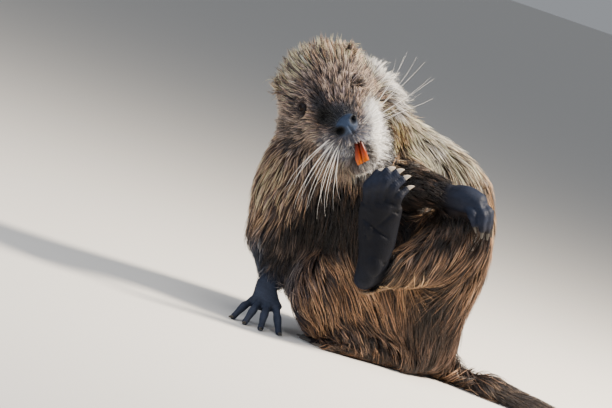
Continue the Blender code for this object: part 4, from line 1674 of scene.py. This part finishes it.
def whisker_lines(surface, share):
    """The points and edges of every whisker, each from the skin along one even bend."""
    roots = placed(np.array([root for root, _ in WHISKERS], float), HEAD)
    roots, numbers, weights = surface.nearest(roots)
    normals = surface.normals_at(numbers, weights)
    places, edges = [], []
    for root, normal, (_, reach) in zip(roots, normals, WHISKERS):
        reach = turned(np.array(reach, float), POSE) * share
        length = np.linalg.norm(reach)
        bow, sag = RISING if reach[2] > 0 else HANGING
        bend = unit(normal) * length * bow
        for step in range(WHISKER_STEPS):
            t = step / (WHISKER_STEPS - 1)
            fall = np.array((0, 0, -1)) * length * sag * t * t
            aside = bend * t * (1 - t) * 2 * (1 - 0.3 * t)
            places.append(root - normal * WHISKER_SINK + aside + reach * t + fall)
            if step:
                edges.append((len(places) - 2, len(places) - 1))
    return np.array(places), edges


def whisker_tree(material):
    """Lines in, and tapered round hairs out."""
    tree = bpy.data.node_groups.new("whisker hairs", "GeometryNodeTree")
    face = tree.interface
    face.new_socket("Geometry", in_out="INPUT", socket_type="NodeSocketGeometry")
    width = face.new_socket("Width", in_out="INPUT", socket_type="NodeSocketFloat")
    width.default_value = WHISKER_WIDTH
    sides = face.new_socket("Sides", in_out="INPUT", socket_type="NodeSocketInt")
    sides.default_value = WHISKER_SIDES
    face.new_socket("Geometry", in_out="OUTPUT", socket_type="NodeSocketGeometry")
    nodes = Nodes(tree)
    lines = nodes.node("NodeGroupInput", output="Geometry")
    across = nodes.node("NodeGroupInput", output="Width")
    corners = nodes.node("NodeGroupInput", output="Sides")
    curve = nodes.node("GeometryNodeMeshToCurve", sockets={"Mesh": lines})
    along = nodes.node("GeometryNodeSplineParameter", output="Factor")
    taper = nodes.node("ShaderNodeMath", {"operation": "MULTIPLY_ADD"}, {0: along, 1: -WHISKER_TAPER, 2: 1.0})
    sockets = {"Resolution": corners, "Radius": across * 0.5}
    circle = nodes.node("GeometryNodeCurvePrimitiveCircle", sockets=sockets)
    sockets = {"Curve": curve, "Profile Curve": circle, "Scale": taper, "Fill Caps": True}
    sweep = nodes.node("GeometryNodeCurveToMesh", sockets=sockets)
    real = nodes.node("GeometryNodeRealizeInstances", sockets={"Geometry": sweep})
    hairs = nodes.node("GeometryNodeSetMaterial", sockets={"Geometry": real, "Material": material})
    nodes.node("NodeGroupOutput", sockets={"Geometry": hairs})
    return tree, width.identifier, sides.identifier


# ---------------------------------------------------------------- the pieces


class Made:
    """What the first operator makes and the later ones read."""

    guide = None
    skin = None

    @classmethod
    def need(cls):
        if cls.skin is None:
            raise RuntimeError("The skin has to be made first")
        return cls.guide, cls.skin


def skin_colors(skin):
    """The coat's markings and painted light and shade on the skin, dimmed between the locks, with damp dark
    bare parts.
    """
    rows, places = skin.rows, skin.surface.places
    speck = waves(places, 14, 21)[:, None] * 0.12 + waves(places, 5, 22)[:, None] * 0.08 + 1
    shown = rows[:, ROOT_COLOR]
    under = shown * 0.75 + rows[:, TIP] * 0.05
    bare = np.clip(rows[:, BARE], 0, 1)[:, None]
    colors = under * (1 - bare) + shown * bare
    return np.column_stack([np.clip(colors * speck, 0, 1), np.ones(len(places))])


def make_skin(sizes):
    guide = Guide()
    skin = Skin(guide, sizes.voxel / MM, sizes.most)
    mesh = skin.object.data
    paint(mesh, skin_colors(skin))
    bare = mesh.attributes.new("bare", "FLOAT", "POINT")
    bare.data.foreach_set("value", np.clip(skin.rows[:, BARE], 0, 1).astype(np.float32))
    give(skin.object, skin_material())
    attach(skin.object, ROOT)
    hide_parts(*FLESH)
    Made.guide, Made.skin = guide, skin


AREAS = {
    "head": ("head", "lower_jaw", "nose", "ear_left", "ear_right"),
    "neck_and_chest": ("neck", "chest"),
    "back_and_belly": ("abdomen",),
    "rump": ("rump",),
    "thighs": ("thigh_left", "thigh_right", "shin_left", "shin_right", "foot_right"),
    "arms": ("upper_arm_left", "upper_arm_right", "forearm_left", "forearm_right"),
    "tail": ("tail_base", "tail_middle", "tail_tip"),
}
LOCKS_IN_A_PIECE = 8900


def make_coat(sizes):
    """Grow every area's locks, in pieces that each stay under 200,000 triangles."""
    guide, skin = Made.need()
    material = fur_material("coat hair", 0.30, 0.32)
    labels = flesh_labels(skin.surface.places)
    for number, (area, nodes) in enumerate(AREAS.items()):
        chosen = np.isin(labels, [FLESH.index(name) for name in nodes]).astype(float)
        source = np.random.default_rng(sizes.seed * 100 + number)
        locks = Locks(skin, guide, chosen, source, sizes)
        colors = locks.colors(sizes.tint)
        runs = locks.runs(LOCKS_IN_A_PIECE)
        for index, run in enumerate(runs):
            obj = locks.build(f"coat_{area}_{index + 1}", run, colors, sizes)
            give(obj, material)
            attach(obj, ROOT)
        print(f"coat {area}: {locks.count} locks in {len(runs)} pieces")


def make_whiskers(sizes):
    _, skin = Made.need()
    places, edges = whisker_lines(skin.surface, sizes.length)
    mesh = bpy.data.meshes.new("whiskers")
    mesh.from_pydata((places * MM).tolist(), edges, [])
    obj = bpy.data.objects.new("whiskers", mesh)
    bpy.context.scene.collection.objects.link(obj)
    material = whisker_material(sizes.color)
    tree, width, sides = whisker_tree(material)
    change = obj.modifiers.new("hairs", "NODES")
    change.node_group = tree
    change[width] = sizes.width
    change[sides] = WHISKER_SIDES
    bake_modifiers(obj)
    obj.data.shade_smooth()
    if not obj.data.materials:
        give(obj, material)
    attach(obj, ROOT)


def make_eyes():
    material = eye_material()
    for side, word in SIDE_WORDS.items():
        middle = eye_frame(side)[0]
        places, faces = ball(middle, (EYE_RADIUS,) * 3, HEAD, sides=48, rings=32)
        obj = new_object(f"eyeball_{word}", places, faces)
        obj.data.shade_smooth()
        give(obj, material)
        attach(obj, ROOT)
        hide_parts(f"eye_{word}")


# A front tooth from its root: x as a share of its place at the tip and a shift, y and z in HEAD, the
# share of its half width, and its half depth.
TOOTH = [
    (0.52, 5.2, 13.5, -15, 0.52, 2.3),
    (0.66, 4.0, 8.5, -25, 0.67, 2.4),
    (0.88, 1.9, 5.6, -34, 0.87, 2.3),
    (1, 0.4, 5.4, -40, 1, 2.0),
    (1, 0, 5.9, -44, 0.97, 1.3),
    (1, 0, 5.6, -46.4, 0.93, 0.45),
]
TOOTH_INSET = 0.1
TOOTH_GAP = 0.12
TOOTH_SHOWN = (22, 46)


def make_teeth(sizes):
    """Two curved, chisel-ended front teeth."""
    material = enamel_material(sizes.enamel)
    half = sizes.tooth_width / MM / 2 - TOOTH_INSET
    for side, word in SIDE_WORDS.items():
        end = side * (half + TOOTH_GAP)
        stations = []
        for share, shift, y, z, wide, deep in TOOTH:
            stations.append((end * share + shift, y, z, half * wide, deep))
        places, faces = tube(stations, HEAD, sides=24, steps=4, blunt=0.4)
        obj = new_object(f"front_tooth_{word}", places, faces)
        height = placed(places, HEAD.inverted())[:, 2]
        # along runs from 0 at the gum to 1 at the tip, and the enamel paints its light, shade and glint by
        # it.
        along = obj.data.attributes.new("along", "FLOAT", "POINT")
        along.data.foreach_set("value", smooth_step(-height, *TOOTH_SHOWN).astype(np.float32))
        obj.data.shade_smooth()
        give(obj, material)
        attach(obj, ROOT)
        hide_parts(f"incisor_{word}")


# The raised foot's claws in POSE: their way and length in millimetres, their hook, how far past the toe
# they start, and the share of the length and of the toe's half width at each station.
RAISED_CLAW = (0.80, -0.10, 0.58)
CLAW_LENGTH = 8.5
CLAW_HOOK = (0.30, 0, -0.5)
CLAW_HOOK_DEPTH = 4
CLAW_START = 0.2
CLAW_STATIONS = ((0.0, 0.50), (0.35, 0.46), (0.7, 0.32), (1.0, 0.10))
CLAW_GROW = 0.2


def raised_claws():
    """The claws of the raised foot, which follow its curled toes."""
    heap = Heap()
    way = unit(np.array(RAISED_CLAW))
    hook = np.array(CLAW_HOOK) * CLAW_HOOK_DEPTH
    for toe in LEFT_TOES:
        _, joint, tip = digit_places(toe)
        half = toe[3]
        tip = tip + unit(tip - joint) * half * CLAW_START
        stations = []
        for share, width in CLAW_STATIONS:
            place = tip + way * CLAW_LENGTH * share + hook * share**2
            stations.append((*place, half * width * 0.8, half * width))
        heap.add(tube(stations, POSE, side=(0, 1, 0), sides=14, steps=4))
    return heap


def solid_claws(name, nodes):
    """The claws of one of the other paws, rounded from their solids."""
    heap = Heap()
    for node in nodes:
        heap.add_node(node, CLAW_GROW)
    obj = heap.object(name)
    change = obj.modifiers.new("round", "SUBSURF")
    change.levels = 2
    change.render_levels = 2
    bake_modifiers(obj)
    return obj


def make_claws(sizes):
    """Each paw's claws: pale on the raised foot, and dark on the others."""
    dark = horn_material("hand claw horn", [part * 0.07 for part in sizes.horn], 0.12)
    pale = horn_material("foot claw horn", sizes.horn, 1.0)
    for paw in ("hand_left", "hand_right", "foot_left", "foot_right"):
        names = [f"claw_{paw}_{number + 1}" for number in range(len(DIGITS[paw][0]))]
        raised = paw == "foot_left"
        obj = raised_claws().object(f"claws_{paw}") if raised else solid_claws(f"claws_{paw}", names)
        obj.data.shade_smooth()
        give(obj, pale if raised else dark)
        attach(obj, ROOT)
        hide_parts(*names)


# ---------------------------------------------------------------- the stage

FLOOR_REACH = 60.0
LIGHT_AIM = (-0.02, 0, 0.16)
SKY_COLOR = (0.80, 0.84, 0.90, 1)
SKY_POWER = 0.38

# The view, in metres and from the front, tilted down and leaning with the spine.
VIEW_TILT = math.radians(5)
VIEW_REACH = 3.55
VIEW_WIDTH = 0.6732
VIEW_CENTRE = (0.04, -0.02, 0)
VIEW_ACROSS = -0.1364
VIEW_ABOVE = 0.1914
SENSOR = 36


def area_light(name, place, size, power, color):
    data = bpy.data.lights.new(name, "AREA")
    data.shape = "DISK"
    data.size = size
    data.energy = power
    data.color = color
    obj = bpy.data.objects.new(name, data)
    obj.location = place
    heading = Vector(LIGHT_AIM) - Vector(place)
    obj.rotation_euler = heading.to_track_quat("-Z", "Y").to_euler()
    bpy.context.scene.collection.objects.link(obj)


def make_camera():
    forward = Vector((0, math.cos(VIEW_TILT), -math.sin(VIEW_TILT)))
    right = Vector((1, 0, 0))
    up = right.cross(forward)
    across = right * math.cos(LEAN) + up * math.sin(LEAN)
    above = up * math.cos(LEAN) - right * math.sin(LEAN)
    target = Vector(VIEW_CENTRE) + across * VIEW_ACROSS + above * VIEW_ABOVE
    data = bpy.data.cameras.new("view")
    data.sensor_width = SENSOR
    data.lens = VIEW_REACH * SENSOR / VIEW_WIDTH
    camera = bpy.data.objects.new("view", data)
    turn = Matrix((across, above, -forward)).transposed().to_4x4()
    camera.matrix_world = Matrix.Translation(target - forward * VIEW_REACH) @ turn
    bpy.context.scene.collection.objects.link(camera)
    bpy.context.scene.camera = camera


def make_stage(sizes):
    """A pale floor, a warm light behind on the right, a cool soft light in front, and the camera."""
    mesh = bpy.data.meshes.new("floor")
    corners = [(x * FLOOR_REACH, y * FLOOR_REACH, 0) for x, y in ((-1, -1), (1, -1), (1, 1), (-1, 1))]
    mesh.from_pydata(corners, [], [(0, 1, 2, 3)])
    floor = bpy.data.objects.new("floor", mesh)
    bpy.context.scene.collection.objects.link(floor)
    give(floor, floor_material(sizes.floor))
    area_light("warm key", (1.15, -0.08, 1.35), 0.35, 150 * sizes.key, (1.0, 0.87, 0.70))
    area_light("cool fill", (-1.7, -1.8, 1.2), 1.2, 36 * sizes.fill, (0.80, 0.87, 1.0))
    area_light("top", (-0.3, -0.5, 2.2), 1.0, 26 * sizes.fill, (1.0, 0.97, 0.93))
    world = bpy.data.worlds.new("studio")
    world.use_nodes = True
    sky = world.node_tree.nodes["Background"]
    sky.inputs["Color"].default_value = SKY_COLOR
    sky.inputs["Strength"].default_value = SKY_POWER
    bpy.context.scene.world = world
    make_camera()


# ---------------------------------------------------------------- the add-on


class MakeSkin(bpy.types.Operator):
    """Replace the flesh solids with one skin that carries the lids, nostrils, lips and paws"""

    bl_idname = "coypu.make_skin"
    bl_label = "Skin"

    def execute(self, context):
        make_skin(context.scene.coypu_skin)
        return {"FINISHED"}


class MakeCoat(bpy.types.Operator):
    """Grow the coat of solid locks from the skin"""

    bl_idname = "coypu.make_coat"
    bl_label = "Coat"

    def execute(self, context):
        make_coat(context.scene.coypu_coat)
        return {"FINISHED"}


class MakeWhiskers(bpy.types.Operator):
    """Add the whiskers"""

    bl_idname = "coypu.make_whiskers"
    bl_label = "Whiskers"

    def execute(self, context):
        make_whiskers(context.scene.coypu_whiskers)
        return {"FINISHED"}


class MakeEyes(bpy.types.Operator):
    """Replace the eye solids with fine, wet eyeballs"""

    bl_idname = "coypu.make_eyes"
    bl_label = "Eyes"

    def execute(self, context):
        make_eyes()
        return {"FINISHED"}


class MakeTeeth(bpy.types.Operator):
    """Replace the front teeth with curved, chisel-ended ones"""

    bl_idname = "coypu.make_teeth"
    bl_label = "Front teeth"

    def execute(self, context):
        make_teeth(context.scene.coypu_hard)
        return {"FINISHED"}


class MakeClaws(bpy.types.Operator):
    """Replace the claws with rounded ones"""

    bl_idname = "coypu.make_claws"
    bl_label = "Claws"

    def execute(self, context):
        make_claws(context.scene.coypu_hard)
        return {"FINISHED"}


class MakeStage(bpy.types.Operator):
    """Add the floor, the lights and the camera"""

    bl_idname = "coypu.make_stage"
    bl_label = "Stage"

    def execute(self, context):
        make_stage(context.scene.coypu_stage)
        return {"FINISHED"}


OPERATORS = (MakeSkin, MakeCoat, MakeWhiskers, MakeEyes, MakeTeeth, MakeClaws, MakeStage)


class CoypuPanel(bpy.types.Panel):
    """The coypu's pieces, in the order in which they are made"""

    bl_idname = "VIEW3D_PT_coypu"
    bl_label = "Coypu"
    bl_space_type = "VIEW_3D"
    bl_region_type = "UI"
    bl_category = "Coypu"

    def draw(self, context):
        for operator in OPERATORS:
            self.layout.operator(operator.bl_idname)
        for name, group in GROUPS.items():
            box = self.layout.box()
            for word in group.__annotations__:
                box.prop(getattr(context.scene, name), word)


def register():
    for name, group in GROUPS.items():
        bpy.utils.register_class(group)
        setattr(bpy.types.Scene, name, bpy.props.PointerProperty(type=group))
    for operator in OPERATORS:
        bpy.utils.register_class(operator)
    bpy.utils.register_class(CoypuPanel)


def unregister():
    bpy.utils.unregister_class(CoypuPanel)
    for operator in reversed(OPERATORS):
        bpy.utils.unregister_class(operator)
    for name, group in GROUPS.items():
        delattr(bpy.types.Scene, name)
        bpy.utils.unregister_class(group)


def main():
    register()
    bpy.ops.coypu.make_skin()
    bpy.ops.coypu.make_coat()
    bpy.ops.coypu.make_whiskers()
    bpy.ops.coypu.make_eyes()
    bpy.ops.coypu.make_teeth()
    bpy.ops.coypu.make_claws()
    bpy.ops.coypu.make_stage()


if __name__ == "__main__":
    main()
